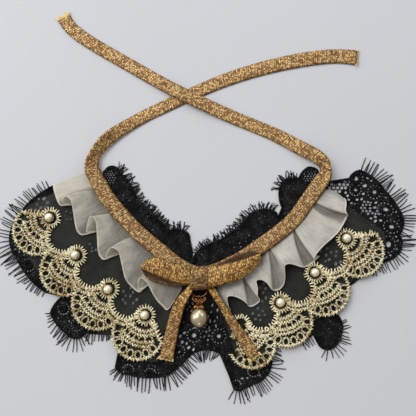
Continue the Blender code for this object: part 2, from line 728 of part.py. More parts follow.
def ruffles(collection):
    """The two pleated chiffon ruffles, sewn under the neck ribbon."""
    left = ruffle_grid(RUFFLE_LEFT, NECK_LEFT, -1)
    right = ruffle_grid(RUFFLE_RIGHT, NECK_RIGHT, 1)
    shell("chiffon_ruffle_left", left, CLOTH_WALL, "chiffon", collection)
    shell("chiffon_ruffle_right", right, CLOTH_WALL, "chiffon", collection)


def neck_ribbon(collection):
    """The ribbon over the neck seam, its neck edge a little lower than its other."""
    bends = []
    for row in NECK_LEFT[::-1] + NECK_RIGHT:
        bank = 0.0 if abs(row.x) < KNOT_WIDTH else NECK_RIBBON_BANK
        bends.append(Bend(row.x, row.y, NECK_RIBBON_MID, bank, RIBBON_WIDTH))
    ribbon("neck_ribbon", bends, collection)


def ribbons(collection):
    """Neck ribbon, ties and the bow's tails."""
    neck_ribbon(collection)
    ribbon("tie_left", TIE_LEFT, collection)
    ribbon("tie_right", TIE_RIGHT, collection)
    ribbon("bow_tail_left", TAIL_LEFT, collection)
    ribbon("bow_tail_right", TAIL_RIGHT, collection)


def bow_loop(name, rows, collection):
    """A loop of the bow, whose width stays level and along Y."""
    middles = smooth_rows([Vector((row.x, row.y, row.z)) for row in rows], 3)
    halves = smooth_rows([Vector((0.0, row.width / 2, 0.0)) for row in rows], 3)
    grid = []
    for middle, half in zip(middles, halves):
        grid.append([middle + half * share for share in (-1.0, -0.4, 0.4, 1.0)])
    return shell(name, grid, RIBBON_WALL, "gold_ribbon", collection)


def bow(collection):
    """Two loops and the band that gathers them."""
    bow_loop("bow_loop_left", LOOP_LEFT, collection)
    bow_loop("bow_loop_right", LOOP_RIGHT, collection)
    bm = bmesh.new()
    bmesh.ops.create_cone(
        bm, cap_ends=True, segments=20, radius1=1.0, radius2=1.0, depth=1.0,
        matrix=Matrix.Rotation(math.radians(90), 4, "Y"),
    )
    size = Vector((KNOT_WIDTH, KNOT_DEPTH / 2, KNOT_HEIGHT / 2)) * MM
    bmesh.ops.scale(bm, vec=size, verts=bm.verts)
    knot = mesh_object("bow_knot", bm)
    knot.location = Vector((PENDANT_X, 0.0, KNOT_BASE + KNOT_HEIGHT / 2)) * MM
    bevel = knot.modifiers.new("Soft edge", "BEVEL")
    bevel.width = 0.8 * MM
    bevel.segments = 2
    bevel.limit_method = "ANGLE"
    bevel.angle_limit = math.radians(60)
    place(knot, "gold_ribbon", collection)


def pendant_ring(collection):
    """The front of the ring that hangs from under the knot."""
    curve = bpy.data.curves.new("pendant_ring", "CURVE")
    curve.dimensions = "3D"
    curve.bevel_depth = RING_WIRE_RADIUS * MM
    curve.bevel_resolution = 2
    curve.use_fill_caps = True
    curve.resolution_u = 1
    spline = curve.splines.new("POLY")
    steps = 16
    spline.points.add(steps)
    reach = RING_BACK_Y - RING_FRONT_Y
    for step, target in enumerate(spline.points):
        angle = math.pi * step / steps
        x = PENDANT_X - RING_HALF_WIDTH * math.cos(angle)
        y = RING_BACK_Y - reach * math.sin(angle)
        target.co = (x * MM, y * MM, PENDANT_Z * MM, 1.0)
    place(bpy.data.objects.new("pendant_ring", curve), "gold_metal", collection)


def charm_body(collection):
    """The charm: a pierced plate joined to the eye that swings on the ring."""
    top = Vector((PENDANT_X, CHARM_TOP_Y))
    right = [top + flat(row) for row in CHARM_HALF]
    left = [Vector((2 * top.x - point.x, point.y)) for point in reversed(right)]
    outline = right + left
    eyelets = [Vector((dx, dy)) for dx, dy in ((-2.6, -1.3), (2.6, -1.3), (0.0, -2.2))]
    holes = [
        circle_points(top + eyelet, CHARM_HOLE_RADIUS, 0.0, 2 * math.pi, 8)[:-1]
        for eyelet in eyelets
    ]
    source = plate(
        "pendant_charm", outline, PENDANT_Z - CHARM_WALL / 2, CHARM_WALL, "gold_metal",
        collection, holes,
    )
    bpy.context.view_layer.update()
    depsgraph = bpy.context.evaluated_depsgraph_get()
    mesh = bpy.data.meshes.new_from_object(source.evaluated_get(depsgraph))
    bm = bmesh.new()
    bm.from_mesh(mesh)
    bmesh.ops.remove_doubles(bm, verts=bm.verts, dist=0.00001)
    bm.to_mesh(mesh)
    bm.free()
    charm = bpy.data.objects.new("pendant_charm_plate", mesh)
    charm.location = source.location
    collection.objects.link(charm)
    bpy.data.objects.remove(source)
    charm.name = "pendant_charm"
    return charm


def charm(collection, cutters):
    """The pierced plate and its eye as one body."""
    body = charm_body(collection)
    bm = bmesh.new()
    major_steps, minor_steps = 20, 8
    rings = []
    for i in range(major_steps):
        around = 2 * math.pi * i / major_steps
        ring = []
        for j in range(minor_steps):
            tube = 2 * math.pi * j / minor_steps
            radius = EYE_RADIUS + EYE_WIRE_RADIUS * math.cos(tube)
            x = EYE_WIRE_RADIUS * math.sin(tube)
            ring.append(bm.verts.new(Vector((x, radius * math.cos(around), radius * math.sin(around))) * MM))
        rings.append(ring)
    for i, ring in enumerate(rings):
        following = rings[(i + 1) % major_steps]
        for j in range(minor_steps):
            k = (j + 1) % minor_steps
            bm.faces.new((ring[j], ring[k], following[k], following[j]))
    bmesh.ops.recalc_face_normals(bm, faces=bm.faces)
    eye = mesh_object("charm_eye", bm)
    eye.location = Vector((PENDANT_X, RING_FRONT_Y, PENDANT_Z)) * MM
    eye.hide_render = True
    eye.display_type = "WIRE"
    cutters.objects.link(eye)
    union = body.modifiers.new("Eye", "BOOLEAN")
    union.operation = "UNION"
    union.object = eye


def pendant(collection, cutters):
    """The ring, the charm that swings on it, the cap and the large pearl."""
    pendant_ring(collection)
    charm(collection, cutters)
    bm = bmesh.new()
    bmesh.ops.create_cone(
        bm, cap_ends=True, segments=16, radius1=CAP_RADII.x * MM, radius2=CAP_RADII.y * MM,
        depth=CAP_LENGTH * MM, matrix=Matrix.Rotation(math.radians(-90), 4, "X"),
    )
    cap = mesh_object("pendant_cap", bm)
    cap.location = Vector((PENDANT_X, CAP_BACK_Y - CAP_LENGTH / 2, PENDANT_Z)) * MM
    place(cap, "gold_metal", collection)
    centre = (PENDANT_X, PENDANT_PEARL_Y, PENDANT_Z)
    radii = (
        PENDANT_PEARL_RADIUS,
        PENDANT_PEARL_RADIUS * PENDANT_PEARL_STRETCH,
        PENDANT_PEARL_RADIUS,
    )
    sphere("pendant_pearl", centre, radii, 20, 14, "pearl", collection)


def centre_on_footprint(objects):
    """Move everything so that the origin is at the middle of the footprint."""
    bpy.context.view_layer.update()
    depsgraph = bpy.context.evaluated_depsgraph_get()
    low = Vector((math.inf, math.inf))
    high = Vector((-math.inf, -math.inf))
    for obj in objects:
        evaluated = obj.evaluated_get(depsgraph)
        mesh = evaluated.to_mesh()
        for vertex in mesh.vertices:
            world = evaluated.matrix_world @ vertex.co
            low = Vector((min(low.x, world.x), min(low.y, world.y)))
            high = Vector((max(high.x, world.x), max(high.y, world.y)))
        evaluated.to_mesh_clear()
    middle = (low + high) / 2
    for collection in bpy.data.collections:
        for obj in collection.objects:
            obj.location.x -= middle.x
            obj.location.y -= middle.y


def main():
    for obj in list(bpy.data.objects):
        bpy.data.objects.remove(obj, do_unlink=True)
    scarf = bpy.data.collections.new("pet_scarf")
    cutters = bpy.data.collections.new("cutters")
    bpy.context.scene.collection.children.link(scarf)
    bpy.context.scene.collection.children.link(cutters)
    lace_layers(scarf)
    organza_panels(scarf)
    gold_trims(scarf)
    ruffles(scarf)
    ribbons(scarf)
    bow(scarf)
    pendant(scarf, cutters)
    centre_on_footprint(scarf.objects)


main()
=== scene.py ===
import math
import random
from collections import namedtuple

import bpy
from mathutils import Matrix, Vector, geometry, kdtree, noise


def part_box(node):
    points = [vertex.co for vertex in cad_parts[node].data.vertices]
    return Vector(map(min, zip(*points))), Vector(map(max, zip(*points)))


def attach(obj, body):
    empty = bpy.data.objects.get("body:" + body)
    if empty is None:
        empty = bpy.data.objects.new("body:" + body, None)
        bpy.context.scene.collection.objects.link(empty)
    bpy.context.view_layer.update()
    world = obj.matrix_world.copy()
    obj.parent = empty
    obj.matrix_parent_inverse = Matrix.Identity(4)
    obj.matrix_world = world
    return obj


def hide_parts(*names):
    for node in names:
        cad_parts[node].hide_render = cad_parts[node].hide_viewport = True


bl_info = {
    "name": "Pet scarf",
    "version": (1, 0, 0),
    "blender": (4, 5, 0),
    "location": "3D View > Sidebar > Scarf",
    "description": "Lace, organza, chiffon, gold trims, ribbon bow and pendant of a pet scarf",
    "category": "Object",
}

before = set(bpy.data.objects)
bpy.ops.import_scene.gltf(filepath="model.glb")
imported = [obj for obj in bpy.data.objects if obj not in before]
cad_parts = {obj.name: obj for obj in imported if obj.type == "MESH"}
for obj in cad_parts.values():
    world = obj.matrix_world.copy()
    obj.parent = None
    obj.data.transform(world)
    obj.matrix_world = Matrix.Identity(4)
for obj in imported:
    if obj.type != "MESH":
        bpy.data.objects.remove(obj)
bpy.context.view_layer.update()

MM = 0.001
UP = Vector((0.0, 0.0, 1.0))
KNOT_X = 0.3


def middle_of(node):
    """The middle of a CAD node."""
    low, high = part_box(node)
    return (low + high) / 2


# Tables are in millimetres from the middle of the bow, which the knot's middle is KNOT_X
# to the right of. Heights are from the surface that the scarf lies on.
ORIGIN = Vector((middle_of("bow_knot").x - KNOT_X * MM, middle_of("bow_knot").y, 0.0))


def rows_of(kind, values):
    """The rows of a table, with kind's names for its columns."""
    return [kind(*value) for value in values]


# ---------------------------------------------------------------- tables

# The neckline, from the centre front to each end.
NECK_LEFT = [
    (-3.5, 3.7), (-9.7, 6.4), (-16.3, 10.9), (-23.3, 16.7), (-29.5, 21.6), (-41.3, 31.8),
    (-54.9, 46.6), (-62, 56), (-68.9, 68.6),
]
NECK_RIGHT = [
    (3.5, 3.1), (11.6, 5), (24.6, 11), (37, 19), (49.5, 27.8), (61, 37.4), (69.3, 48.2),
    (75.7, 57.1), (80.6, 63.9),
]

# A row of an outline: the side to the next row stands out by bulge, and lash is the
# length of the eyelash threads at the row.
Edge = namedtuple("Edge", "x y bulge lash")

LACE_FLOUNCE = rows_of(Edge, (
    (-76, 69, 0.5, 0), (-98.5, 60.5, 3, 5), (-122.5, 35, 3.5, 9.5), (-118.5, 12, 2, 9),
    (-99.5, -9, 0, 4), (-89, -11.5, 1, 0), (-96, -21.5, 1.5, 3), (-85.5, -35, 3.5, 8),
    (-72.5, -35, 0, 7), (-55.5, -36, 0, 4), (-51.5, -45.5, 0, 0), (-53.5, -56, 1.5, 4),
    (-45, -61, 1.7, 7), (-19.5, -61.5, 0.5, 9), (-4, -48, -2.5, 7), (13.5, -48, 0, 6),
    (19.5, -62, 0, 0), (22, -69.5, 0.6, 6), (26.5, -71, 0, 8), (40.5, -64.5, 2, 8),
    (47.5, -50.5, 0.3, 8), (49, -42, 0, 4), (58, -41.5, 0, 0), (66, -41, 0, 5), (73.5, -36, 0, 5),
    (76, -41, 0.5, 0), (80, -45, 1, 6), (87, -44, 1, 7), (92, -36, 1, 6), (92.5, -27, 0.3, 3),
    (89.5, -22, 0, 0), (95, -7, 0, 0), (111, 4.5, 0.3, 4), (121, 10.5, 0.8, 6),
    (129.5, 15, 1, 7.5), (133, 21.5, 0.9, 8.5), (132, 28.4, 1.8, 8.5), (134.2, 42, 1, 9.5),
    (123, 58.5, 2, 9.5), (107, 72, 1.2, 8), (99.5, 66.5, 0, 0), (87.5, 64.5, 0, 0),
))
NECK_FRILL_LEFT = rows_of(Edge, (
    (-3.8, 14, 0.5, 0), (-5.5, 25.5, 1, 0), (-8.5, 31.5, 1, 4.6), (-19, 32, 0, 4.6),
    (-30.5, 43, 0.5, 4.6), (-38.5, 50, 0, 4.6), (-45.5, 63, 0, 4.6), (-54, 73.5, 2, 4.6),
    (-62.5, 72, 0.6, 0), (-64, 67.5, 0, 0),
))
NECK_FRILL_RIGHT = rows_of(Edge, (
    (79.5, 71.5, 1, 0), (72.5, 74, 1, 0), (66, 66.5, 0, 3.6), (59, 66.5, 1.5, 4.6),
    (52.8, 58.5, 1, 4.6), (54.5, 46.5, 0, 0), (52, 41, 1, 0), (49.5, 44.5, 2, 4.6),
    (35, 43.5, 0.5, 4.6), (27, 35, 0, 4.6), (14, 25.5, 0.5, 4.6), (4, 21.5, 0.5, 4),
    (-2.2, 16.9, 0, 2.6), (-4.1, 13, 0, 0), (-3.9, 9.5, 0, 0),
))
ORGANZA_PANEL_LEFT = rows_of(Edge, (
    (-79, 62.5, 0, 0), (-95.5, 56, 0, 0), (-112, 48, 2, 0), (-118.5, 28, 1.5, 0),
    (-101.5, 2, 1, 0), (-83, -12.5, 1, 0), (-66.5, -33, 1, 0), (-55, -35.5, 0, 0),
    (-49, -46, 1.5, 0), (-26, -52.5, 0, 0), (-7, -7, 0, 0), (-5, 2, 0, 0),
))
ORGANZA_PANEL_RIGHT = rows_of(Edge, (
    (5, 2, 0, 0), (10.5, -7, 0, 0), (26.5, -56, 0.8, 0), (40.5, -56, 1, 0), (49, -42.5, 0, 0),
    (65, -41.5, 1, 0), (73.5, -26.5, 0, 0), (89.5, -21, 1, 0), (99, -1.5, 0, 0),
    (119.5, 10.5, 1.5, 0), (121, 30.5, 0, 0), (97.5, 48, 0, 0), (87, 58, 0, 0),
))

# Where the black lace opens up into hexagon net. size is the hole's radius and step is
# the distance between holes.
Patch = namedtuple("Patch", "x y radius size step")

LACE_NET = rows_of(Patch, (
    (90.5, 61.5, 5.4, 1.2, 2.65), (96.5, 63, 5.4, 1.2, 2.65), (99.5, 67.5, 3.6, 1.1, 2.5),
    (99, 57, 3.6, 1.05, 2.5), (114.5, 43.5, 4.4, 0.95, 2.3), (110.5, 47.5, 4, 0.9, 2.3),
    (4.5, -32, 3.4, 0.8, 2.1), (-1.5, -28, 3.4, 0.8, 2.1),
))
# Where the lace is dense, with only pinholes between its threads.
LACE_PINHOLES = rows_of(Patch, (
    (94, -33, 11, 0.4, 3), (-88, -26, 11, 0.38, 3), (-34, -57, 17, 0.36, 3.2),
    (-115, 25, 26, 0.36, 3.2), (33, -60, 14, 0.36, 3.2), (3, -30, 17, 0.42, 3),
    (118, 42, 30, 0.4, 3),
))
FRILL_NET = rows_of(Patch, (
    (-59, 67, 4.6, 0.62, 1.75), (73.5, 68.5, 5, 0.62, 1.8),
))

# The rosettes: a padded ring, its two radii, the turn of the long one, and the share of
# them that its eyelet has.
Rosette = namedtuple("Rosette", "x y long short turn eye")

LACE_ROSETTES = rows_of(Rosette, (
    (104, 66, 3.6, 3.5, 0, 0.41), (116, 57, 3.3, 3.2, 0, 0.41), (123, 45.5, 4, 2.8, 160, 0.46),
    (126.5, 34, 4, 2.8, 160, 0.42), (124, 22.5, 4.1, 3.3, 90, 0.5), (-3, -36, 3.2, 3.1, 0, 0.46),
    (13, -36.5, 3.2, 3.2, 0, 0.4), (-111, 9, 2.8, 2.8, 0, 0), (103.5, 58.5, 2.6, 2.6, 0, 0.54),
    (-87.5, -19, 2.6, 2.3, 120, 0), (-78.5, -29.5, 2.6, 2.4, 120, 0),
    (-120, 25.5, 2.4, 2.2, 60, 0), (-31, -60, 2.4, 2, 0, 0), (-45, -57.5, 2.2, 1.9, 0, 0),
    (35, -58.5, 2.5, 2.2, 0, 0), (24, -67.5, 2.2, 2, 60, 0), (-13, -46, 2.9, 2.6, 0, 0),
))
# The clusters of eyelets: a turned oval of staggered rows step apart. slant turns the eyelets.
Cluster = namedtuple("Cluster", "x y half_width half_height turn long short slant step")
LACE_CLUSTERS = rows_of(Cluster, (
    (-44.5, -10.5, 5.5, 6.5, 0, 1.15, 0.85, 70, 2.9), (-69.5, 20.5, 2, 5, 10, 0.9, 0.75, 70, 3),
    (-86, 41.5, 3.2, 3.2, 0, 0.8, 0.68, 30, 2.6), (-107, 49, 9, 4.6, 12, 1.32, 1.12, 20, 3.4),
    (-117, 17, 4, 7, 25, 0.78, 0.6, 70, 3.7), (-82, -23.5, 9, 4, -48, 0.74, 0.54, 50, 4.1),
    (-33.5, -55.8, 12, 1.9, 3, 0.72, 0.52, 10, 4.4),
    (-7.5, -41, 5.5, 10.5, -12, 1.15, 0.82, 65, 3.5), (7, -36.5, 5.5, 5, 0, 0.85, 0.6, 60, 3.2),
    (9, -24.5, 4, 10, -8, 1.15, 0.48, 82, 2.8), (-5.8, -18, 2.4, 4, 0, 1.05, 0.5, 82, 2.7),
    (34, -62.5, 8, 2.6, 15, 0.8, 0.58, 0, 3), (41.8, -9, 2.8, 9.5, 0, 1.15, 0.85, 80, 3.3),
    (39, -23, 5.5, 4.5, -15, 1, 0.82, 40, 3.8), (86, 13, 6.5, 9.5, 20, 1.2, 0.92, 60, 4.1),
    (109.5, 60.5, 7, 10, 20, 1.2, 1, 20, 4.3), (118, 44, 6.5, 8.5, 10, 0.98, 0.76, 20, 3.5),
    (101.5, 52, 3.6, 3.2, 0, 0.86, 0.7, 0, 2.7),
))
# The chain of eyelets inside the edge of the widest end: from this x on, inset and spacing.
CHAIN_FROM = 104.0
CHAIN_INSET = 3.1
CHAIN_STEP = 2.9

# One row for each repeat of a gold trim: the fan, the flower at its root and its pearl.
Motif = namedtuple("Motif", "fan_x fan_y fan_radius flower_x flower_y pearl dx dy")

GOLD_TRIM_LEFT = rows_of(Motif, (
    (-104.6, 31.6, 17.2, -96.7, 39.5, 1, -0.4, 0), (-85.7, 5.7, 17.5, -79.1, 15.1, 1, -0.4, 0.1),
    (-64.5, -15.6, 17.7, -57.7, -6.4, 1, -0.3, -0.3),
    (-38.6, -34.9, 17.3, -34, -23.2, 1, -0.3, 0.3),
))
GOLD_TRIM_RIGHT = rows_of(Motif, (
    (34.1, -41.7, 15.6, 27.1, -29.2, 0, 0, 0), (56.6, -26.7, 17.2, 52.6, -15.3, 1, -0.3, 0.3),
    (80.7, -7.1, 17.3, 75.1, 3.8, 1, -0.4, 0.2), (103.6, 17.7, 17.4, 96.1, 25.8, 1, -0.4, 0.3),
))

# Lines of a ruffle from the neck through its middle to the hem, x, y and z of each. At
# each pleat the cloth turns under, runs back and rises over a crest as the next panel.
Pleat = namedtuple("Pleat", "neck_x neck_y neck_z middle_x middle_y middle_z hem_x hem_y hem_z")

PLEATS_LEFT = rows_of(Pleat, (
    (-74.7, 70, 3.2, -84.8, 65.9, 3.3, -95.5, 61.6, 3.2),
    (-72.6, 64.3, 3.2, -83.8, 59.6, 3.7, -95.1, 58.3, 3.5),
    (-70.8, 60.6, 3.2, -82.5, 56.6, 3.7, -93.2, 52.6, 3.5),
    (-70.2, 58.3, 3.1, -81.2, 53.3, 3.3, -90.7, 47.9, 3.2),
    (-69.7, 57.5, 3.1, -77.9, 52.7, 3, -87, 47.8, 3),
    (-69.5, 56.9, 3.1, -75.3, 52, 3, -81.7, 48.1, 3),
    (-69.6, 57.2, 3.3, -76.5, 53.3, 3.8, -84.8, 48.1, 4.1),
    (-69.6, 57.5, 3.7, -79, 54.6, 5.8, -88.5, 48.7, 5.2),
    (-69.7, 57.7, 3.9, -78, 55.8, 6.6, -86.4, 52.9, 6.8),
    (-69.1, 57, 3.8, -75.9, 54.1, 6.3, -83.4, 51.7, 6.7),
    (-68.4, 55.8, 3.6, -74.7, 52.3, 5.8, -82.1, 48.9, 6.1),
    (-67.4, 53.6, 3.4, -73.5, 49.8, 5.1, -81.6, 45.2, 5.3),
    (-65, 49.7, 3.3, -72.2, 44.3, 4.5, -80.9, 40, 4.5),
    (-62.7, 46.4, 3.2, -70.5, 40.1, 4, -80.1, 34.5, 4),
    (-60.7, 44.1, 3.2, -69, 38.5, 3.6, -78.9, 30.6, 3.5),
    (-59.3, 42.7, 3.1, -67.7, 37.2, 3.2, -76.4, 28.4, 3.2),
    (-58.7, 42.1, 3.1, -65.1, 36.6, 3, -72.1, 29.1, 3),
    (-58.1, 41.7, 3.1, -62.2, 36.2, 3, -66, 30.6, 3),
    (-58, 41.8, 3.3, -63.3, 37.5, 3.9, -69, 30.3, 4.1),
    (-57.8, 41.9, 3.7, -65, 38.6, 5.8, -72.3, 30.5, 5.2),
    (-56.9, 41.9, 3.9, -63.2, 41.1, 6.6, -70.1, 39.3, 6.9),
    (-56.4, 41, 3.8, -61.3, 39.2, 6.3, -67.4, 39.2, 6.7),
    (-55.7, 39.9, 3.6, -60.1, 37.3, 5.8, -66.1, 36.3, 6.1),
    (-54.6, 38.2, 3.4, -58.8, 34.1, 5.1, -65.7, 31.5, 5.3),
    (-52.7, 35.9, 3.3, -57.5, 29.6, 4.5, -65.5, 25.7, 4.5),
    (-50.7, 33.9, 3.2, -56.3, 26.4, 4, -65.1, 19.3, 4),
    (-48.4, 31.6, 3.2, -55, 23.8, 3.6, -64.4, 15.4, 3.5),
    (-45.4, 28.9, 3.1, -53.1, 21.9, 3.2, -61.6, 12.4, 3.2),
    (-44.5, 28, 3.1, -50.5, 21.9, 3, -57.2, 13.8, 3),
    (-43.9, 27.2, 3.1, -47.6, 21.2, 3, -51, 16.1, 3),
    (-43.9, 27.1, 3.3, -49.4, 22.2, 3.9, -56, 14.4, 4.1),
    (-43.8, 26.9, 3.7, -50.7, 22.3, 5.8, -59.7, 13.9, 5.1),
    (-43.3, 26.6, 3.9, -49.6, 24.2, 6.6, -56.3, 19.5, 6.8),
    (-42.7, 25.7, 3.8, -47.8, 22, 6.3, -53.8, 19.5, 6.7),
    (-41.4, 24.6, 3.6, -45.9, 20.5, 5.8, -51.1, 17.4, 6.1),
    (-39.4, 22.8, 3.4, -44.3, 17.9, 5.1, -50.3, 14.1, 5.3),
    (-36.8, 20.7, 3.3, -42.4, 13.4, 4.5, -49, 8, 4.5),
    (-33.9, 18.6, 3.2, -40.4, 8.9, 4, -47.4, 1.2, 4),
    (-30.9, 16.7, 3.2, -37.9, 5.7, 3.6, -44.8, -3.2, 3.5),
    (-28, 14.6, 3.1, -34, 4.4, 3.2, -39, -8.3, 3.2),
    (-27.1, 14, 3.1, -31.5, 5.1, 3, -36.2, -7.1, 3),
    (-26.7, 13.6, 3.1, -29.2, 5.7, 3, -31.7, -3.2, 3),
    (-26.8, 13.7, 3.3, -31.1, 7, 3.9, -35.7, -6.4, 4.1),
    (-26.8, 13.8, 3.7, -33.2, 6, 5.4, -38.4, -6.4, 4.9),
    (-26.4, 13.6, 3.9, -32.1, 6.7, 6.2, -38.2, -0.3, 6.6),
    (-25.6, 13.1, 3.8, -29.9, 5.7, 6, -35.9, 0.2, 6.4),
    (-24.4, 12.2, 3.6, -28, 5.1, 5.6, -33.1, -2.2, 5.8),
    (-22.7, 11.2, 3.4, -26.1, 3.8, 5, -31.5, -5.1, 5.1),
    (-19.8, 9.3, 3.3, -24.2, -0.7, 4.3, -29.1, -9.6, 4.4),
    (-16.6, 7, 3.2, -21.3, -3.9, 3.9, -26, -14.4, 3.9),
    (-13.3, 5.4, 3.2, -17.8, -6.4, 3.5, -23.1, -17.2, 3.4),
    (-10.8, 4.4, 3.1, -14.9, -7.7, 3.2, -19.9, -19.7, 3.1),
    (-8.2, 3.5, 3.1, -10.7, -5.8, 3.2, -15.2, -13.4, 3.2),
))
PLEATS_RIGHT = rows_of(Pleat, (
    (11.9, -4.2, 3.3, 13.4, -12.5, 3.6, 20.5, -20.1, 3.4),
    (13.1, -4.1, 3.8, 15.7, -10.8, 5.2, 19.2, -17.5, 4.6),
    (15.1, -3.6, 4, 17.6, -7.9, 6, 18.3, -12.1, 5.8),
    (17.6, -3, 4, 20.1, -6.7, 6.3, 20.4, -10.7, 6.3),
    (20.9, -1.8, 4, 23.3, -6, 6.3, 24.2, -11.4, 6.3),
    (24.1, -0.4, 4, 26.5, -5.9, 6.1, 28.1, -13.3, 5.9),
    (27.1, 1.1, 4, 29.3, -6.1, 5.7, 31, -15.6, 5.3),
    (27.4, 1.1, 3.3, 30.4, -6.7, 3.6, 32.7, -17.6, 3.4),
    (27.9, 1.2, 3.1, 32.8, -7.1, 3, 35.6, -17.1, 3),
    (28.4, 1.4, 3.1, 34.7, -6.9, 3.2, 39.2, -14.4, 3.1),
    (28.8, 1.4, 3.5, 34.1, -6.3, 4.8, 38.7, -12.1, 4.6),
    (29.1, 1.4, 4, 33.3, -5.6, 6.1, 37.7, -10.8, 5.9),
    (29.6, 1.4, 4.1, 33.5, -2.9, 6.7, 37.7, -5.7, 6.5),
    (30.5, 1.6, 4, 34.4, -0.5, 6.7, 36.8, -1.9, 6.8),
    (32.5, 2.7, 4, 36.1, 1.4, 6.5, 38.2, -0.5, 6.6), (35.7, 5.1, 4, 39, 2.4, 6.4, 41.2, -0.8, 6.4),
    (39.3, 8.6, 4, 42.3, 3.8, 6.2, 44.1, -2.9, 6.1),
    (42.6, 13.4, 4, 44.8, 5.7, 5.9, 46.2, -5.7, 5.5),
    (44.9, 17.8, 4, 46.1, 7.2, 5.5, 47.3, -6.9, 4.9),
    (45.2, 18.1, 3.3, 47.3, 7, 3.6, 48.9, -7.6, 3.4),
    (45.7, 18.6, 3.1, 49.4, 6.4, 3.1, 51.8, -7, 3), (46, 19, 3.1, 51.6, 6.7, 3.5, 54.6, -4.1, 3.2),
    (46.3, 19.2, 3.4, 52.6, 7.3, 4.3, 55.6, 0, 3.8), (46.4, 19.4, 4, 52, 9.9, 5.6, 55.4, 4.8, 5.1),
    (47.2, 20, 4.1, 51.8, 13, 6.4, 55.1, 8.3, 6.1),
    (49.2, 21.2, 4, 53.9, 14.7, 6.5, 57.7, 9.7, 6.4),
    (52.4, 23.6, 4, 57.2, 16.5, 6.4, 61.6, 9, 6.3), (56, 26.7, 4, 60.1, 17.9, 6.1, 64.8, 7.9, 5.9),
    (60.9, 31.5, 4, 63, 19.5, 5.7, 67.5, 7.4, 5.1),
    (61.3, 31.8, 3.3, 64.4, 18.9, 3.6, 69.3, 7.7, 3.3),
    (61.7, 32.2, 3.1, 66.8, 19.6, 3, 72.8, 9.4, 3),
    (61.9, 32.6, 3.1, 69.4, 20.5, 3.1, 78.2, 14.4, 3.1),
    (61.9, 32.8, 3.5, 68.7, 21.3, 4.7, 76.5, 13.3, 4.4),
    (61.8, 33, 4, 67.3, 22.6, 6.3, 73.8, 13, 6.1),
    (62.5, 35.2, 4.1, 69.5, 24.6, 6.5, 76.8, 17.6, 6.3),
    (64.7, 37.8, 4, 72.9, 27.8, 6, 81.3, 22, 5.6), (67.3, 40.4, 4, 76, 31.3, 5.7, 86.2, 26.1, 5.2),
    (70, 43.4, 4, 78.6, 34.7, 5.6, 90.5, 30.2, 4.9),
    (73.4, 47.8, 4, 79.7, 39.9, 5.5, 93, 33.7, 4.5),
    (74.1, 48.7, 3.3, 82.1, 41.8, 3.5, 95.7, 37.9, 3.5),
    (74.9, 49.5, 3.1, 84.2, 43.6, 3, 97.4, 41.1, 3.1),
    (75.4, 50, 3.3, 85, 44.7, 3.7, 97.3, 41.8, 3.6),
    (75.7, 50.4, 4, 85.3, 45.5, 5.9, 96.2, 41.6, 5.5),
    (76.7, 51.6, 4, 86.1, 48.8, 5.6, 95.2, 44.3, 5.5),
    (78.7, 53.9, 3.9, 87.6, 51.8, 5.1, 95.9, 47.8, 5),
    (81.5, 56.7, 3.7, 89.1, 54.5, 4.3, 95.9, 51.4, 4.1),
    (82.9, 57.9, 3.4, 88.5, 57.4, 3.7, 94.2, 52.9, 3.5),
))

# A bend of a ribbon: its middle, the turn of its face about its own length (degrees,
# its left edge up) and its width.
Bend = namedtuple("Bend", "x y z bank width")

TIE_LEFT = rows_of(Bend, (
    (-69.14, 69.04, 4.75, 7, 10), (-70.1, 71.2, 4.9, 10, 9.8), (-70.4, 73.8, 4.9, 16, 9.4),
    (-69.8, 76.8, 4.9, 26, 9.2), (-68.4, 80.8, 4.8, 34, 9), (-65.7, 85.3, 4.5, 34, 9.2),
    (-61.8, 90.5, 3.8, 26, 9.2), (-55.2, 96.5, 2.7, 14, 8.6), (-48, 101.4, 1.8, 6, 8.2),
    (-37.5, 107.7, 0.9, 0, 8.2), (-24.2, 114.4, 0.8, 0, 8.4), (-9.4, 121.5, 0.8, 0, 8.6),
    (5.4, 128.2, 0.8, 0, 8.8), (17.5, 133.2, 0.8, 0, 9), (31.1, 138, 0.8, 0, 9.2),
    (44.6, 141.9, 0.8, 0, 9.4), (58.2, 145.2, 0.8, 0, 9.6), (71.8, 147.8, 0.8, 0, 9.8),
    (85.4, 149.6, 0.8, 0, 9.8), (95.6, 150, 0.8, 0, 9.8), (107.1, 149, 0.9, 0, 10.4),
))
TIE_RIGHT = rows_of(Bend, (
    (80.98, 64.42, 4.75, -7, 10), (82.6, 67.4, 5.2, -22, 9.2), (83.3, 71.2, 5.4, -46, 8.8),
    (82.2, 75.4, 5.2, -38, 8.8), (78.9, 79.2, 4.5, -22, 9), (75.2, 81.9, 3.6, -12, 9.2),
    (69.2, 85.4, 2.4, -4, 9.4), (62.7, 89.2, 1.4, 0, 9.4), (50.8, 95.6, 0.8, 0, 9.2),
    (37.5, 101.4, 0.8, 0, 9), (24.1, 106.9, 1.2, 0, 9), (10.8, 112.7, 2.1, 0, 9),
    (-1, 118.1, 2.7, 0, 9), (-12.8, 124, 2.7, 0, 9), (-26.3, 131.5, 1.4, 0, 9),
    (-40, 139.5, 0.8, 0, 9), (-53.6, 147.5, 0.8, 0, 9), (-67.4, 155.6, 0.8, 0, 9),
    (-77.7, 162.2, 0.8, 0, 9), (-84, 166.9, 0.8, 0, 9), (-88.9, 171.7, 0.8, 0, 9),
    (-92.8, 177.8, 0.9, 0, 9.2),
))
TAIL_LEFT = rows_of(Bend, (
    (-3.4, -3.2, 9.4, 10, 4.2), (-6.2, -7.6, 9, 14, 4.8), (-9, -11.4, 8.4, 14, 6),
    (-12.3, -17, 7.2, 8, 7.3), (-15.1, -26, 5.2, 2, 8), (-18, -38.3, 3.8, 0, 8.3),
    (-20.4, -50.4, 3.6, 0, 9),
))
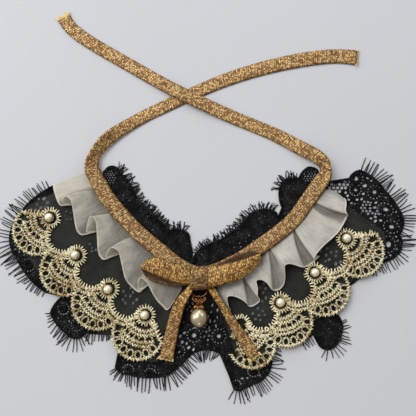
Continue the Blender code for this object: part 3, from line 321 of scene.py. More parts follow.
TAIL_RIGHT = rows_of(Bend, (
    (7, -3.6, 8.2, 0, 4.8), (8.5, -6.6, 7.9, 6, 4.7), (10.4, -9.8, 7.8, 18, 4.6),
    (12.4, -13.2, 7.4, 28, 4.4), (14.9, -17.2, 6.8, 24, 4.6), (18, -21.8, 6.2, 14, 5.3),
    (23.5, -30.2, 5.5, 4, 6.2), (29.5, -39.6, 5, 0, 7.2), (35.4, -48.8, 4.9, 0, 7.9),
))

# A bow loop's two edges at one station, and how far its face puffs up between them.
Rail = namedtuple("Rail", "top foot puff")

LOOP_LEFT = rows_of(Rail, (
    ((-4.8, 6.3, 12.3), (-4.5, -3.3, 11), 0.4), ((-10.1, 8, 13.2), (-10.5, -3.3, 11.6), 0.9),
    ((-16.7, 10.9, 14), (-17.1, -1.7, 12), 1.2), ((-23.8, 13.2, 14.2), (-23.8, 0.9, 12.4), 1.3),
    ((-30.4, 12.9, 13.2), (-29.8, 3.3, 12), 1.3), ((-34.3, 10.6, 11.6), (-34, 5.3, 11), 0.9),
    ((-35.9, 8.7, 9.8), (-35.6, 5, 9), 0.4), ((-34.3, 7.4, 8.2), (-34, 1.7, 7.6), 0),
    ((-29.8, 7.4, 7.8), (-30.1, -1.3, 7.2), 0), ((-23.1, 6.1, 7.6), (-23.5, -3.4, 7.2), 0),
    ((-15.8, 5.1, 7.6), (-16.5, -4.6, 7.2), 0), ((-9.2, 4.7, 7.8), (-9.9, -4.5, 7.2), 0),
    ((-4.6, 4.7, 8.2), (-4.6, -3.3, 7.6), 0),
))
LOOP_RIGHT = rows_of(Rail, (
    ((6, 7, 12), (5.4, -5.6, 11), 0.3), ((11.3, 8.4, 13), (12, -4.6, 11.6), 0.9),
    ((19.9, 10.1, 13.4), (19.2, -3, 11.8), 1.1), ((29.2, 12.6, 13.8), (27.2, -0.3, 11.6), 1.1),
    ((35.1, 14.6, 13.3), (33.8, 4.3, 11.2), 0.9), ((38.1, 15.8, 12.4), (38.1, 8.6, 10.6), 0.5),
    ((39, 16.2, 10.6), (39.1, 10.6, 9.2), 0.2), ((38.4, 17.8, 9.6), (37.8, 11.2, 7.8), 0),
    ((35.1, 18.9, 9), (34.5, 11.2, 7.3), 0), ((29.8, 18.1, 8.6), (29.2, 9.8, 7.2), 0),
    ((21.9, 15.1, 8.4), (21.2, 7.2, 7.2), 0), ((13.9, 11.2, 8.4), (13.3, 3.3, 7.3), 0),
    ((6.7, 7.6, 8.6), (6, 0, 7.6), 0),
))

PENDANT_X = KNOT_X
PENDANT_Z = 7.05
CHARM_TOP = -12.5
RING_FRONT = -11.3       # where the charm's eye hangs on the ring
PEARL_Y = -24.5
PEARL_RADIUS = 5.75
PEARL_STRETCH = 1.1
# ---------------------------------------------------------------- user properties


def length(name, description, default):
    """A length that a user may change."""
    return bpy.props.FloatProperty(
        name=name, description=description, default=default, min=0.0, unit="LENGTH",
        subtype="DISTANCE", precision=4,
    )


def colour(name, description, default):
    """A colour that a user may change."""
    return bpy.props.FloatVectorProperty(
        name=name, description=description, default=default, min=0.0, max=1.0, size=3,
        subtype="COLOR",
    )


class ScarfSizes(bpy.types.PropertyGroup):
    """Sizes of the scarf's threads and cloths."""

    ribbon_thickness: length("Ribbon thickness", "Flattened knitted tube", 0.0011)
    stitch_radius: length("Stitch radius", "Thread of the gold trims", 0.00025)
    stitch_spacing: length("Stitch spacing", "Between two stitches of a trim", 0.00090)
    lash_radius: length("Eyelash radius", "Threads at the lace's edge", 0.00034)
    lash_spacing: length("Eyelash spacing", "Between two threads at the edge", 0.0016)
    trim_pearl_radius: length("Trim pearl radius", "Small pearls in the flowers", 0.0030)


class ScarfColours(bpy.types.PropertyGroup):
    """Colours of the scarf."""

    lace: colour("Lace", "Black lace", (0.0045, 0.0045, 0.005))
    organza: colour("Organza", "Dark sheer panels", (0.038, 0.038, 0.032))
    chiffon_left: colour("Left chiffon", "Sheer ruffle", (0.515, 0.48, 0.41))
    chiffon_right: colour("Right chiffon", "Denser ruffle", (0.455, 0.43, 0.38))
    gold_thread: colour("Gold thread", "Light stitches of the trims", (1.0, 0.93, 0.62))
    gold_tan: colour("Gold tan", "Darker stitches of the trims", (0.46, 0.30, 0.10))
    # gold_shade is a painted shade, for the low parts of the stitches and for the padding under
    # them
    gold_shade: colour("Gold shade", "Deep between the stitches", (0.10, 0.065, 0.022))
    # The shade colours below are partly painted shade between the knitted stitches and partly
    # random dark yarn; the glint colours are metallic thread by chance and partly a painted
    # highlight on the stitch middles.
    ribbon: colour("Ribbon", "Yarn of the ribbon", (0.345, 0.166, 0.037))
    ribbon_shade: colour("Ribbon shade", "Between the knitted stitches", (0.075, 0.025, 0.003))
    ribbon_glint: colour("Ribbon glint", "Metallic thread in the ribbon", (1.0, 0.76, 0.36))
    bow: colour("Bow", "Yarn of the bow", (0.32, 0.145, 0.024))
    bow_shade: colour("Bow shade", "Between the bow's stitches", (0.035, 0.010, 0.001))
    bow_glint: colour("Bow glint", "Metallic thread in the bow", (1.0, 0.66, 0.21))
    # painted shade, for inside the bow's loops and on the knot
    ribbon_painted_shade: colour("Ribbon hollow", "Inside the bow's loops", (0.030, 0.011, 0.002))
    metal: colour("Pendant metal", "Ring, charm and cap", (0.58, 0.25, 0.085))
    pearl: colour("Pearl", "Nacre of the trim's pearls", (0.98, 0.89, 0.68))
    # painted shade and a painted reflection of the gold trim, on the sides and undersides of the
    # trim's pearls
    pearl_painted_shade_and_reflection: colour("Pearl side", "Sides of the trim's pearls", (0.50, 0.38, 0.19))
    drop_pearl: colour("Drop pearl", "Nacre of the pendant's pearl", (0.60, 0.49, 0.29))
    # painted shade on the sides and underside of the drop pearl
    drop_painted_shade: colour("Drop pearl side", "Sides of the pendant's pearl", (0.20, 0.145, 0.06))
    floor: colour("Floor", "Surface that the scarf lies on", (0.58, 0.59, 0.62))


def size_of(name):
    """A size that is set in the scene, in millimetres."""
    return getattr(bpy.context.scene.scarf_sizes, name) / MM


def tint(name):
    """A colour that is set in the scene."""
    return Vector(getattr(bpy.context.scene.scarf_colours, name))


# ---------------------------------------------------------------- finishes

# Patterns, in millimetres.
KNIT_PITCH = 0.95        # between the ribbon's stitches, across and along
RIB_PITCH = 1.5          # between its slanting ribs
HEM_ROLL = (22.8, 23.6)  # where the ruffles' rolled hem starts and is full
# Heights between which a finish changes, low and high.
RUFFLE_RISE = (2.9, 6.4)
STITCH_RISE = (2.9, 3.75)
BOW_RISE = (5.6, 7.4)
NECK_RISE = (2.4, 4.2)


class Term:
    """A value in a finish. Arithmetic on it adds the Math nodes."""

    def __init__(self, finish, socket):
        self.finish = finish
        self.socket = socket

    def math(self, operation, *values):
        return self.finish.node("ShaderNodeMath", {"operation": operation}, values)

    def __add__(self, other):
        return self.math("ADD", self, other)

    def __radd__(self, other):
        return self.math("ADD", other, self)

    def __sub__(self, other):
        return self.math("SUBTRACT", self, other)

    def __rsub__(self, other):
        return self.math("SUBTRACT", other, self)

    def __mul__(self, other):
        return self.math("MULTIPLY", self, other)

    def __rmul__(self, other):
        return self.math("MULTIPLY", other, self)

    def __truediv__(self, other):
        return self.math("DIVIDE", self, other)

    def fraction(self):
        return self.math("FRACT", self)

    def sine(self):
        return self.math("SINE", self)

    def ramp(self, low, high):
        """0 at low, 1 at high and smooth between them."""
        settings = {"interpolation_type": "SMOOTHSTEP"}
        return self.finish.node("ShaderNodeMapRange", settings, {0: self, 1: low, 2: high})


class Finish:
    """A material while its nodes are being made."""

    def __init__(self, name, **constants):
        self.material = bpy.data.materials.new(name)
        self.material.use_nodes = True
        self.tree = self.material.node_tree
        self.shader = self.tree.nodes["Principled BSDF"]
        for socket, value in constants.items():
            self.shader.inputs[socket.replace("_", " ")].default_value = value

    def put(self, socket, value):
        if isinstance(value, Term):
            self.tree.links.new(value.socket, socket)
        elif socket.type == "RGBA":
            socket.default_value = (*value, 1.0)
        else:
            socket.default_value = value

    def node(self, kind, settings, values, output=0):
        """Any node: its settings are set first, then its sockets."""
        made = self.tree.nodes.new(kind)
        for key, value in settings.items():
            setattr(made, key, value)
        for key, value in values.items() if isinstance(values, dict) else enumerate(values):
            self.put(made.inputs[key], value)
        return Term(self, made.outputs[output])

    def part(self, vector, axis):
        """The X, Y or Z of a vector."""
        return self.node("ShaderNodeSeparateXYZ", {}, {0: vector}, axis)

    def place(self):
        """Position on the piece, in millimetres."""
        here = self.node("ShaderNodeTexCoord", {}, {}, "Object")
        settings = {"operation": "SCALE"}
        return self.node("ShaderNodeVectorMath", settings, {0: here, "Scale": 1 / MM})

    def lay(self):
        """Distance across and along the cloth or thread, in millimetres."""
        flat = self.node("ShaderNodeUVMap", {"uv_map": "cloth"}, {})
        return flat, self.part(flat, "X"), self.part(flat, "Y")

    def stretch(self, vector, x, y, z):
        """A vector with its three parts scaled."""
        return self.node("ShaderNodeVectorMath", {"operation": "MULTIPLY"}, (vector, (x, y, z)))

    def noise(self, vector, scale, detail=2.0, roughness=0.5):
        """Cloudy values about 0.5. scale is per millimetre."""
        values = {"Vector": vector, "Scale": scale, "Detail": detail, "Roughness": roughness}
        return self.node("ShaderNodeTexNoise", {}, values, "Fac")

    def mix(self, share, first, second):
        """A colour between two."""
        values = {0: share, 6: first, 7: second}
        return self.node("ShaderNodeMix", {"data_type": "RGBA"}, values, 2)

    def shades(self, share, colour_value, low, high):
        """A colour that goes from low to high times its own value."""
        return self.mix(share, colour_value * low, colour_value * high)

    def set(self, socket, value):
        self.put(self.shader.inputs[socket], value)

    def bump(self, height, depth, strength=1.0):
        """Relief of depth millimetres."""
        values = {"Height": height, "Distance": depth * MM, "Strength": strength}
        self.set("Normal", self.node("ShaderNodeBump", {}, values, "Normal"))


def black_lace():
    """Black cotton lace: matt ground with painted glints, specks of its colour made lighter where
    its threads turn, and a little real shine there from lower roughness.
    """
    finish = Finish("black_lace", Specular_IOR_Level=0.15)
    place = finish.place()
    threads = finish.noise(finish.stretch(place, 1.0, 1.0, 0.3), 1.1, 3.0, 0.7)
    fine = finish.noise(place, 2.6, 2.0, 0.7)
    clouds = finish.noise(place, 0.16)
    glints = (threads * 0.6 + fine * 0.4).ramp(0.50, 0.64) * clouds.ramp(0.35, 0.62)
    # painted highlight: the glint specks lighten the base colour up to fifteen times
    finish.set("Base Color", finish.shades(glints, tint("lace"), 0.4, 15.0))
    finish.set("Roughness", 0.80 - glints * 0.35)
    finish.bump(threads * 0.7 + fine * 0.3, 0.5)
    return finish.material


def black_thread():
    """The loose threads at the lace's edge."""
    finish = Finish("black_thread", Roughness=0.75, Specular_IOR_Level=0.15)
    tone = finish.noise(finish.place(), 0.8)
    finish.set("Base Color", finish.shades(tone.ramp(0.35, 0.75), tint("lace"), 1.0, 3.0))
    finish.bump(tone, 0.1, 0.4)
    return finish.material


def organza():
    """Dark sheer cloth with a fine slanting weave."""
    finish = Finish("organza", Roughness=0.65, Specular_IOR_Level=0.2)
    place = finish.place()
    x, y = finish.part(place, "X"), finish.part(place, "Y")
    warp = ((x + y) * 6.0).sine()
    weft = ((x - y) * 6.0).sine()
    weave = (warp * weft) * 0.5 + 0.5
    clouds = finish.noise(place, 0.09, 3.0)
    streaks = finish.noise(finish.stretch(place, 0.25, 1.2, 1.0), 0.6, 3.0)
    tone = clouds * 0.55 + streaks * 0.25 + weave * 0.2
    finish.set("Base Color", finish.shades(tone.ramp(0.25, 0.8), tint("organza"), 0.55, 1.5))
    finish.set("Alpha", 0.58 - weave * 0.14 + (clouds - 0.5) * 0.3)
    finish.bump(weave, 0.08, 0.5)
    return finish.material


def chiffon(name, alpha, doubled):
    """Sheer crinkled cloth with its grain running from neck to hem, with painted shade low in its
    pleats and painted light on their crests. Its outer end lies double over the first doubled
    millimetres of the hem."""
    finish = Finish(name, Roughness=0.75, Specular_IOR_Level=0.2)
    cloth = tint(name)
    flat, across, along = finish.lay()
    grain = finish.noise(finish.stretch(flat, 1.1, 0.07, 1.0), 1.0, 3.0, 0.6)
    weave = finish.noise(finish.stretch(flat, 1.2, 1.2, 1.0), 1.0, 2.0, 0.6)
    clouds = finish.noise(flat, 0.12)
    hem = along.ramp(*HEM_ROLL)
    tone = (grain * 0.45 + clouds * 0.35 + weave * 0.20).ramp(0.32, 0.68)
    # painted shade and light: low and high are shaded and lit copies of the cloth's colour, mixed
    # by height
    rise = finish.part(finish.place(), "Z").ramp(*RUFFLE_RISE)
    fold = 1.0 - across.ramp(doubled, doubled + 7.0)
    low = finish.shades(tone, cloth, 0.46, 0.72)
    high = finish.shades(tone, cloth, 0.90, 1.22)
    whole = finish.mix(fold * 0.75, finish.mix(rise, low, high), cloth * 1.30)
    finish.set("Base Color", finish.mix(hem * 0.7, whole, cloth * 1.45))
    finish.set("Alpha", alpha + (tone - 0.5) * 0.16 + rise * 0.14 + (hem + fold) * 0.2)
    finish.bump(grain * 0.7 + weave * 0.3, 0.22, 0.7)
    return finish.material


def chiffon_left():
    return chiffon("chiffon_left", 0.66, 8.0)


def chiffon_right():
    return chiffon("chiffon_right", 0.82, -20.0)


def gold_thread():
    """Pale gold viscose stitches, each a little lighter or darker than the next, with painted
    shade where they lie low.
    """
    finish = Finish("gold_thread", Specular_IOR_Level=0.6, Sheen_Weight=0.1)
    _, mark, along = finish.lay()
    place = finish.place()
    rise = finish.part(place, "Z").ramp(*STITCH_RISE)
    spots = finish.noise(place, 0.9, 2.0, 0.6)
    clouds = finish.noise(place, 0.07)
    tone = mark * 0.62 + spots * 0.38 + (clouds - 0.5) * 1.3
    lit = finish.mix(tone.ramp(0.10, 0.64), tint("gold_tan"), tint("gold_thread"))
    # painted shade: where a stitch lies low, towards its ends and between the crowns, its colour
    # goes to the gold shade colour
    finish.set("Base Color", finish.mix(rise * 0.85 + 0.15, tint("gold_shade"), lit))
    finish.set("Roughness", 0.48 - spots * 0.12)
    finish.bump((along * 9.0).sine() * 0.5 + 0.5, 0.06, 0.5)
    return finish.material


def gold_ground():
    """The padding under the gold stitches, coloured from the painted shade so that the gaps
    between the stitches look shaded.
    """
    finish = Finish("gold_ground", Roughness=0.7, Specular_IOR_Level=0.3)
    threads = finish.noise(finish.place(), 1.2, 3.0)
    shade = tint("gold_shade")
    top = tint("gold_thread").lerp(shade, 0.78)
    finish.set("Base Color", finish.mix(threads.ramp(0.35, 0.75), shade * 0.5, top))
    finish.bump(threads, 0.3, 0.8)
    return finish.material


def gold_ribbon():
    """Knitted ribbon: staggered rows of stitches, each more or less metallic by chance."""
    finish = Finish("gold_ribbon", Specular_IOR_Level=0.4)
    flat, across, along = finish.lay()
    row = along / KNIT_PITCH
    lap = row - row.fraction()
    column = across / KNIT_PITCH + lap * 0.5
    cell = finish.node("ShaderNodeCombineXYZ", {}, {0: column - column.fraction(), 1: lap})
    settings = {"noise_dimensions": "3D"}
    chance = finish.node("ShaderNodeTexWhiteNoise", settings, {"Vector": cell}, "Value")
    # stitch paints light into the tone: painted shade between the knitted stitches and a painted
    # highlight on their middles
    stitch = (row.fraction() * math.pi).sine() * (column.fraction() * math.pi).sine()
    rib = (along * (2.0 * math.pi / RIB_PITCH) + across * 0.9).sine() * 0.5 + 0.5
    fibre = finish.noise(flat, 1.3, 2.0, 0.6)
    clouds = finish.noise(flat, 0.15)
    tone = chance * 0.60 + stitch * 0.36 + rib * 0.20 + (fibre + clouds - 1.0) * 0.14 - 0.04
    level = finish.part(finish.place(), "Z")
    height = level.ramp(*BOW_RISE)
    # the ribbon is darker between the neck's height and the bow's, toward the painted shade colour
    tone_shift = level.ramp(*NECK_RISE) * 0.22 * (1.0 - height)
    yarn = finish.mix(tone.ramp(0.08, 0.62), tint("ribbon_shade"), tint("ribbon"))
    woven = finish.mix(tone.ramp(0.52, 1.02), yarn, tint("ribbon_glint"))
    bow_yarn = finish.mix(tone.ramp(0.08, 0.64), tint("bow_shade"), tint("bow"))
    bow = finish.mix(tone.ramp(0.55, 1.02), bow_yarn, tint("bow_glint"))
    # the shade attribute carries painted shading: below 1 it mixes toward the painted shade
    # colour, inside the loops and on the knot, and above 1 it is a painted highlight toward the
    # glint colour
    painted_shading_level = finish.node("ShaderNodeAttribute", {"attribute_name": "shade"}, {}, "Fac")
    open_cloth = finish.mix(height * 0.8, woven, bow)
    cloth = finish.mix(painted_shading_level - tone_shift, tint("ribbon_painted_shade"), open_cloth)
    finish.set("Base Color", finish.mix(painted_shading_level.ramp(1.0, 2.0), cloth, tint("ribbon_glint")))
    finish.set("Metallic", tone.ramp(0.6, 1.0) * 0.35)
    finish.set("Roughness", 0.58 - tone * 0.2)
    finish.bump(stitch * 0.5 + fibre * 0.2 + rib * 0.3, 0.35, 0.8)
    return finish.material


def gold_metal():
    """Copper gold plate, darker in patches."""
    finish = Finish("gold_metal", Metallic=1.0)
    tone_shift = finish.noise(finish.place(), 0.9, 3.0)
    finish.set("Base Color", finish.shades(tone_shift.ramp(0.35, 0.65), tint("metal"), 0.35, 1.0))
    finish.set("Roughness", 0.26 + tone_shift * 0.16)
    finish.bump(tone_shift, 0.08, 0.5)
    return finish.material


def nacre(name, body, side, lustre):
    """Pearl coating: a deep soft sheen below a glassy coat, with painted shade that makes it
    browner under its sides and lightest where it faces up.
    """
    finish = Finish(
        name, Coat_Weight=1.0, Coat_Roughness=0.05, Coat_IOR=1.8, Specular_IOR_Level=0.8
    )
    bands = finish.noise(finish.stretch(finish.place(), 0.5, 1.0, 0.5), 0.3, 3.0)
    facing = finish.node("ShaderNodeTexCoord", {}, {}, "Normal")
    # lit: how much the surface faces up; away from it the colour goes to the painted side colour
    lit = (finish.part(facing, "Z") + finish.part(facing, "Y") * 0.2).ramp(0.25, 0.98)
    coating = finish.shades(bands.ramp(0.3, 0.7), body, 0.88, 1.0)
    finish.set("Base Color", finish.mix(lit, side, coating))
    finish.set("Metallic", lustre - lit * 0.22)
    finish.set("Roughness", 0.24 + bands * 0.06)
    return finish.material


def trim_nacre():
    return nacre("trim_nacre", tint("pearl"), tint("pearl_painted_shade_and_reflection"), 0.42)


def drop_nacre():
    return nacre("drop_nacre", tint("drop_pearl"), tint("drop_painted_shade"), 0.66)


def floor_cloth():
    """The plain pale surface under the scarf."""
    finish = Finish("floor_cloth", Roughness=0.75, Specular_IOR_Level=0.3)
    clouds = finish.noise(finish.place(), 0.004)
    finish.set("Base Color", finish.shades(clouds, tint("floor"), 0.96, 1.03))
    return finish.material


FINISHES = {}


def finish_of(maker):
    """A finish, made once and shared."""
    if maker not in FINISHES:
        FINISHES[maker] = maker()
    return FINISHES[maker]


# ---------------------------------------------------------------- plan geometry


def plan(row):
    """The plan position of a table row or a point."""
    return Vector((row.x, row.y))


def raised(point, height):
    """A plan point at a height."""
    return Vector((point.x, point.y, height))


def ray(turn):
    """The unit plan vector of a direction in radians."""
    return Vector((math.cos(turn), math.sin(turn)))


def direction(vector):
    """The direction of a plan vector in radians."""
    return math.atan2(vector.y, vector.x)


def right_of(along):
    """The plan vector to the right of another."""
    return Vector((along.y, -along.x))


def rotated(vector, turn):
    """A plan vector turned by radians."""
    return Matrix.Rotation(turn, 2) @ vector


def catmull(before, start, end, after, t):
    """A smooth value between start and end, for numbers or vectors."""
    return 0.5 * (
        2.0 * start
        + (end - before) * t
        + (2.0 * before - 5.0 * start + 4.0 * end - after) * t ** 2
        + (3.0 * start - before - 3.0 * end + after) * t ** 3
    )


def smooth_run(values, spans=6):
    """A smooth run through every value, with the given steps between two."""
    padded = [2 * values[0] - values[1], *values, 2 * values[-1] - values[-2]]
    run = []
    for index in range(len(values) - 1):
        for step in range(spans):
            run.append(catmull(*padded[index:index + 4], step / spans))
    run.append(values[-1])
    return run


def heading(run, index, closed=False):
    """The direction that a run of points has at one of them."""
    count = len(run)
    ahead = run[(index + 1) % count] if closed else run[min(index + 1, count - 1)]
    behind = run[index - 1] if closed else run[max(index - 1, 0)]
    return (ahead - behind).normalized()


def distances(run):
    """How far along a run each of its points is."""
    result = [0.0]
    for start, end in zip(run, run[1:]):
        result.append(result[-1] + (end - start).length)
    return result


def rights_of(points):
    """Unit vectors to the right of a run of plan points."""
    return [right_of(heading(points, index)) for index in range(len(points))]


def beside(points, distance):
    """The run moved to its right."""
    return [point + right * distance for point, right in zip(points, rights_of(points))]


def arc_side(start, end, bulge, step):
    """Points from start up to, but not at, end on an arc that bulges right."""
    chord = end - start
    count = max(1, math.ceil(chord.length / step))
    if abs(bulge) < 0.05 or count == 1:
        return [start + chord * (i / count) for i in range(count)]
    radius = (chord.length ** 2 / 4 + bulge ** 2) / (2 * bulge)
    centre = start + chord / 2 + right_of(chord) / chord.length * (bulge - radius)
    turn = 2 * math.asin(max(-1.0, min(1.0, chord.length / (2 * radius))))
    return [centre + rotated(start - centre, turn * i / count) for i in range(count)]


def edge_run(edges, step=1.6):
    """Points along an open chain of Edge rows, and the eyelash length at each."""
    points = []
    reaches = []
    for row, following in zip(edges, edges[1:]):
        side = arc_side(plan(row), plan(following), row.bulge, step)
        points.extend(side)
        for i in range(len(side)):
            share = i / len(side)
            both = row.lash > 0 and following.lash > 0
            reach = row.lash * (1 - share) + following.lash * share
            reaches.append(reach if both or (i == 0 and row.lash > 0) else 0.0)
    points.append(plan(edges[-1]))
    reaches.append(edges[-1].lash)
    return points, reaches


def neck_run(neck, offset):
    """The neckline moved to its right by offset."""
    return beside(smooth_run([Vector(point) for point in neck]), offset)


def along_run(points, spacing):
    """Points at an even spacing on a run, with the direction of the run at each."""
    result = []
    left = spacing / 2
    for start, end in zip(points, points[1:]):
        side = end - start
        size = side.length
        while left <= size and size > 0:
            result.append((start + side * (left / size), side / size))
            left += spacing
        left -= size
    return result


def circle_turns(count, offset=0.0):
    """Even turns round a circle, the first moved on by a share of one."""
    return [2 * math.pi * (i + offset) / count for i in range(count)]


def arc(centre, radius, start, end, step=1.0):
    """Plan points on a circle between two directions in radians."""
    count = max(2, math.ceil(abs(end - start) * radius / step))
    return [centre + radius * ray(start + (end - start) * i / count) for i in range(count + 1)]


def arc_about(centre, radius, middle, spread):
    """Plan points on a circle, to spread degrees on each side of the middle direction."""
    spread = math.radians(spread)
    return arc(centre, radius, middle - spread, middle + spread)


def oval(centre, radii, turn, turns):
    """Plan points on an oval turned by radians, at the given turns from its long side."""
    spin = Matrix.Rotation(turn, 2)
    return [
        centre + spin @ Vector((radii[0] * math.cos(a), radii[1] * math.sin(a))) for a in turns
    ]


def rough(point, scale, layer):
    """Smooth chance at a plan point, about 0. scale is per millimetre."""
    return noise.noise(Vector((point.x * scale, point.y * scale, layer)))


# ---------------------------------------------------------------- mesh making


class Model:
    """A piece's points, faces and cloth positions while it is being made."""

    def __init__(self):
        self.points = []
        self.lays = []
        self.faces = []
        # painted shading by point: below 1 painted shade, above 1 painted highlight, 1 where none
        # is set
        self.shades = {}

    def grid(self, lines, closed=False, looped=False, capped=False):
        """Quads through lines of points, each with its cloth position. closed joins each
        line's end to its start, looped joins the last line to the first, and capped fills
        the first and the last."""
        first = len(self.points)
        width = len(lines[0])
        for line in lines:
            for point, lay in line:
                self.points.append(point)
                self.lays.append(lay)
        for i in range(len(lines) if looped else len(lines) - 1):
            here = first + i * width
            beyond = first + (i + 1) % len(lines) * width
            for j in range(width if closed else width - 1):
                k = (j + 1) % width
                self.faces.append((here + j, here + k, beyond + k, beyond + j))
        if capped:
            last = first + width * (len(lines) - 1)
            self.faces.append(tuple(range(first + width - 1, first - 1, -1)))
            self.faces.append(tuple(range(last, last + width)))

    def rod(self, path, radii, sides=5, flat=1.0, closed=False, mark=None):
        """A thread through a path. flat below 1 presses it. mark is a number from 0 to 1
        that the finish can tell this thread by."""
        if not isinstance(radii, (list, tuple)):
            radii = [radii] * len(path)
        lines = []
        for index, (place, radius, travelled) in enumerate(zip(path, radii, distances(path))):
            along = heading(path, index, closed)
            side = along.cross(UP)
            side = side.normalized() if side.length > 0.05 else Vector((1.0, 0.0, 0.0))
            over = side.cross(along)
            line = []
            for turn in circle_turns(sides):
                out = side * math.cos(turn) + over * math.sin(turn) * flat
                lay = (radius * turn if mark is None else mark, travelled)
                line.append((place + out * radius, lay))
            lines.append(line)
        self.grid(lines, closed=True, looped=closed, capped=not closed)

    def turned(self, centre, axis, profile, steps):
        """A solid turned about an axis. profile holds (distance along, radius)."""
        side = axis.orthogonal().normalized()
        over = axis.cross(side)
        lines = []
        for distance, radius in profile:
            middle = centre + axis * distance
            line = []
            for j, turn in enumerate(circle_turns(steps)):
                out = side * math.cos(turn) + over * math.sin(turn)
                line.append((middle + out * radius, (j, distance)))
            lines.append(line)
        self.grid(lines, closed=True, capped=True)

    def piece(self, name, finish, slot, stands_for=(), body="scarf"):
        """The finished object, on its body."""
        mesh = bpy.data.meshes.new(name)
        mesh.from_pydata([ORIGIN + point * MM for point in self.points], [], self.faces)
        cloth = mesh.uv_layers.new(name="cloth")
        corners = [0] * len(mesh.loops)
        mesh.loops.foreach_get("vertex_index", corners)
        cloth.uv.foreach_set("vector", [part for corner in corners for part in self.lays[corner]])
        # the shade attribute holds the painted shading
        shade = mesh.attributes.new("shade", "FLOAT", "POINT")
        shades = [self.shades.get(i, 1.0) for i in range(len(self.points))]
        shade.data.foreach_set("value", shades)
        mesh.shade_smooth()
        mesh.materials.append(finish_of(finish))
        mesh.validate()
        obj = bpy.data.objects.new(name, mesh)
        bpy.context.scene.collection.objects.link(obj)
        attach(obj, body)
        if stands_for:
            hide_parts(*stands_for)
        return obj


def nodes_named(start):
    """The CAD nodes whose names start so."""
    return sorted(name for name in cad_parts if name.startswith(start))


# ---------------------------------------------------------------- black lace

NECK_SEAM = 0.6          # from the neckline to the edges of the cloths beside it
LACE_FLOOR = 0.45        # the lowest that the lace's gathers come
GATHERS_FROM = Vector((6.0, 70.0))  # where the gathers run out from, behind the neck
# Radii of the threads along the lace's edge, in its scallops and round its eyelets.
CORD, SCALLOP, EYE_THREAD = 0.5, 0.34, 0.2
# A rosette's three cords: each one's share of the rosette and its radius.
ROSETTE_CORDS = ((1.0, 0.50), (0.80, 0.62), (0.60, 0.50))
LACE_MESH = 2.4          # between the points inside the cloth
ROW_RISE = 0.87          # between two staggered rows, as a share of the step
# Radii of the small eyelets round a rosette, and of those in the chain.
SEED_HOLES = (0.56, 0.44)
CHAIN_HOLES = (0.90, 0.70)
LASH_ROOT = 0.9          # how far inside the edge a lash starts
LASH_SPANS = 5           # straight steps in a lash
# How many degrees the lashes stray, and how many stand where one would.
FLOUNCE_LASHES = (2.6, 1.0)
FRILL_LASHES = (11.0, 2.2)


class Hole:
    """An opening in the lace: an oval turned by an angle."""

    def __init__(self, centre, radii, turn, corners):
        self.centre = centre
        self.radii = Vector(radii)
        self.turn = turn
        self.corners = corners

    def ring(self):
        """The opening's outline."""
        return oval(self.centre, self.radii, self.turn, circle_turns(self.corners, 0.5))

    def holds(self, point, share):
        """Whether a point is inside, within a share of its size."""
        own = rotated(point - self.centre, -self.turn)
        return (own.x / self.radii.x) ** 2 + (own.y / self.radii.y) ** 2 < share ** 2


def inside(outline, point):
    """Whether a plan point is inside an outline."""
    result = False
    previous = outline[-1]
    for current in outline:
        if (current.y > point.y) != (previous.y > point.y):
            share = (point.y - current.y) / (previous.y - current.y)
            if point.x < current.x + share * (previous.x - current.x):
                result = not result
        previous = current
    return result


def lattice(outline, step, draw, jitter):
    """A jittered triangle lattice inside an outline."""
    xs = [point.x for point in outline]
    ys = [point.y for point in outline]
    result = []
    row = 0
    y = min(ys)
    while y < max(ys):
        x = min(xs) + (step / 2 if row % 2 else 0.0)
        while x < max(xs):
            point = Vector((x + draw.uniform(-jitter, jitter), y + draw.uniform(-jitter, jitter)))
            if inside(outline, point):
                result.append(point)
            x += step
        y += step * math.sqrt(3) / 2
        row += 1
    return result


class Border:
    """The points of an outline, with the distance to the nearest."""

    def __init__(self, outline):
        self.tree = kdtree.KDTree(len(outline))
        for index, point in enumerate(outline):
            self.tree.insert(raised(point, 0.0), index)
        self.tree.balance()

    def distance(self, point):
        """The distance from a plan point to the nearest."""
        return self.tree.find(raised(point, 0.0))[2]


def any_turn(draw):
    """A turn by chance, in radians."""
    return draw.uniform(0.0, 3.1)


def cluster_points(cluster, draw):
    """Staggered rows of points inside a turned oval."""
    spin = Matrix.Rotation(math.radians(cluster.turn), 2)
    lines = int(cluster.half_height / (cluster.step * ROW_RISE))
    columns = int(cluster.half_width / cluster.step) + 1
    for line in range(-lines, lines + 1):
        for column in range(-columns, columns + 1):
            stray = Vector((draw.gauss(0.0, 0.12), draw.gauss(0.0, 0.12)))
            local = (Vector((column + line % 2 * 0.5, line * ROW_RISE)) + stray) * cluster.step
            if math.hypot(local.x / cluster.half_width, local.y / cluster.half_height) <= 1.0:
                yield plan(cluster) + spin @ local


def rosette_ring(rosette, share, margin, corners):
    """Points round a rosette, within a share of its size or outside it by a margin."""
    radii = (rosette.long * share + margin, rosette.short * share + margin)
    return Hole(plan(rosette), radii, math.radians(rosette.turn), corners).ring()


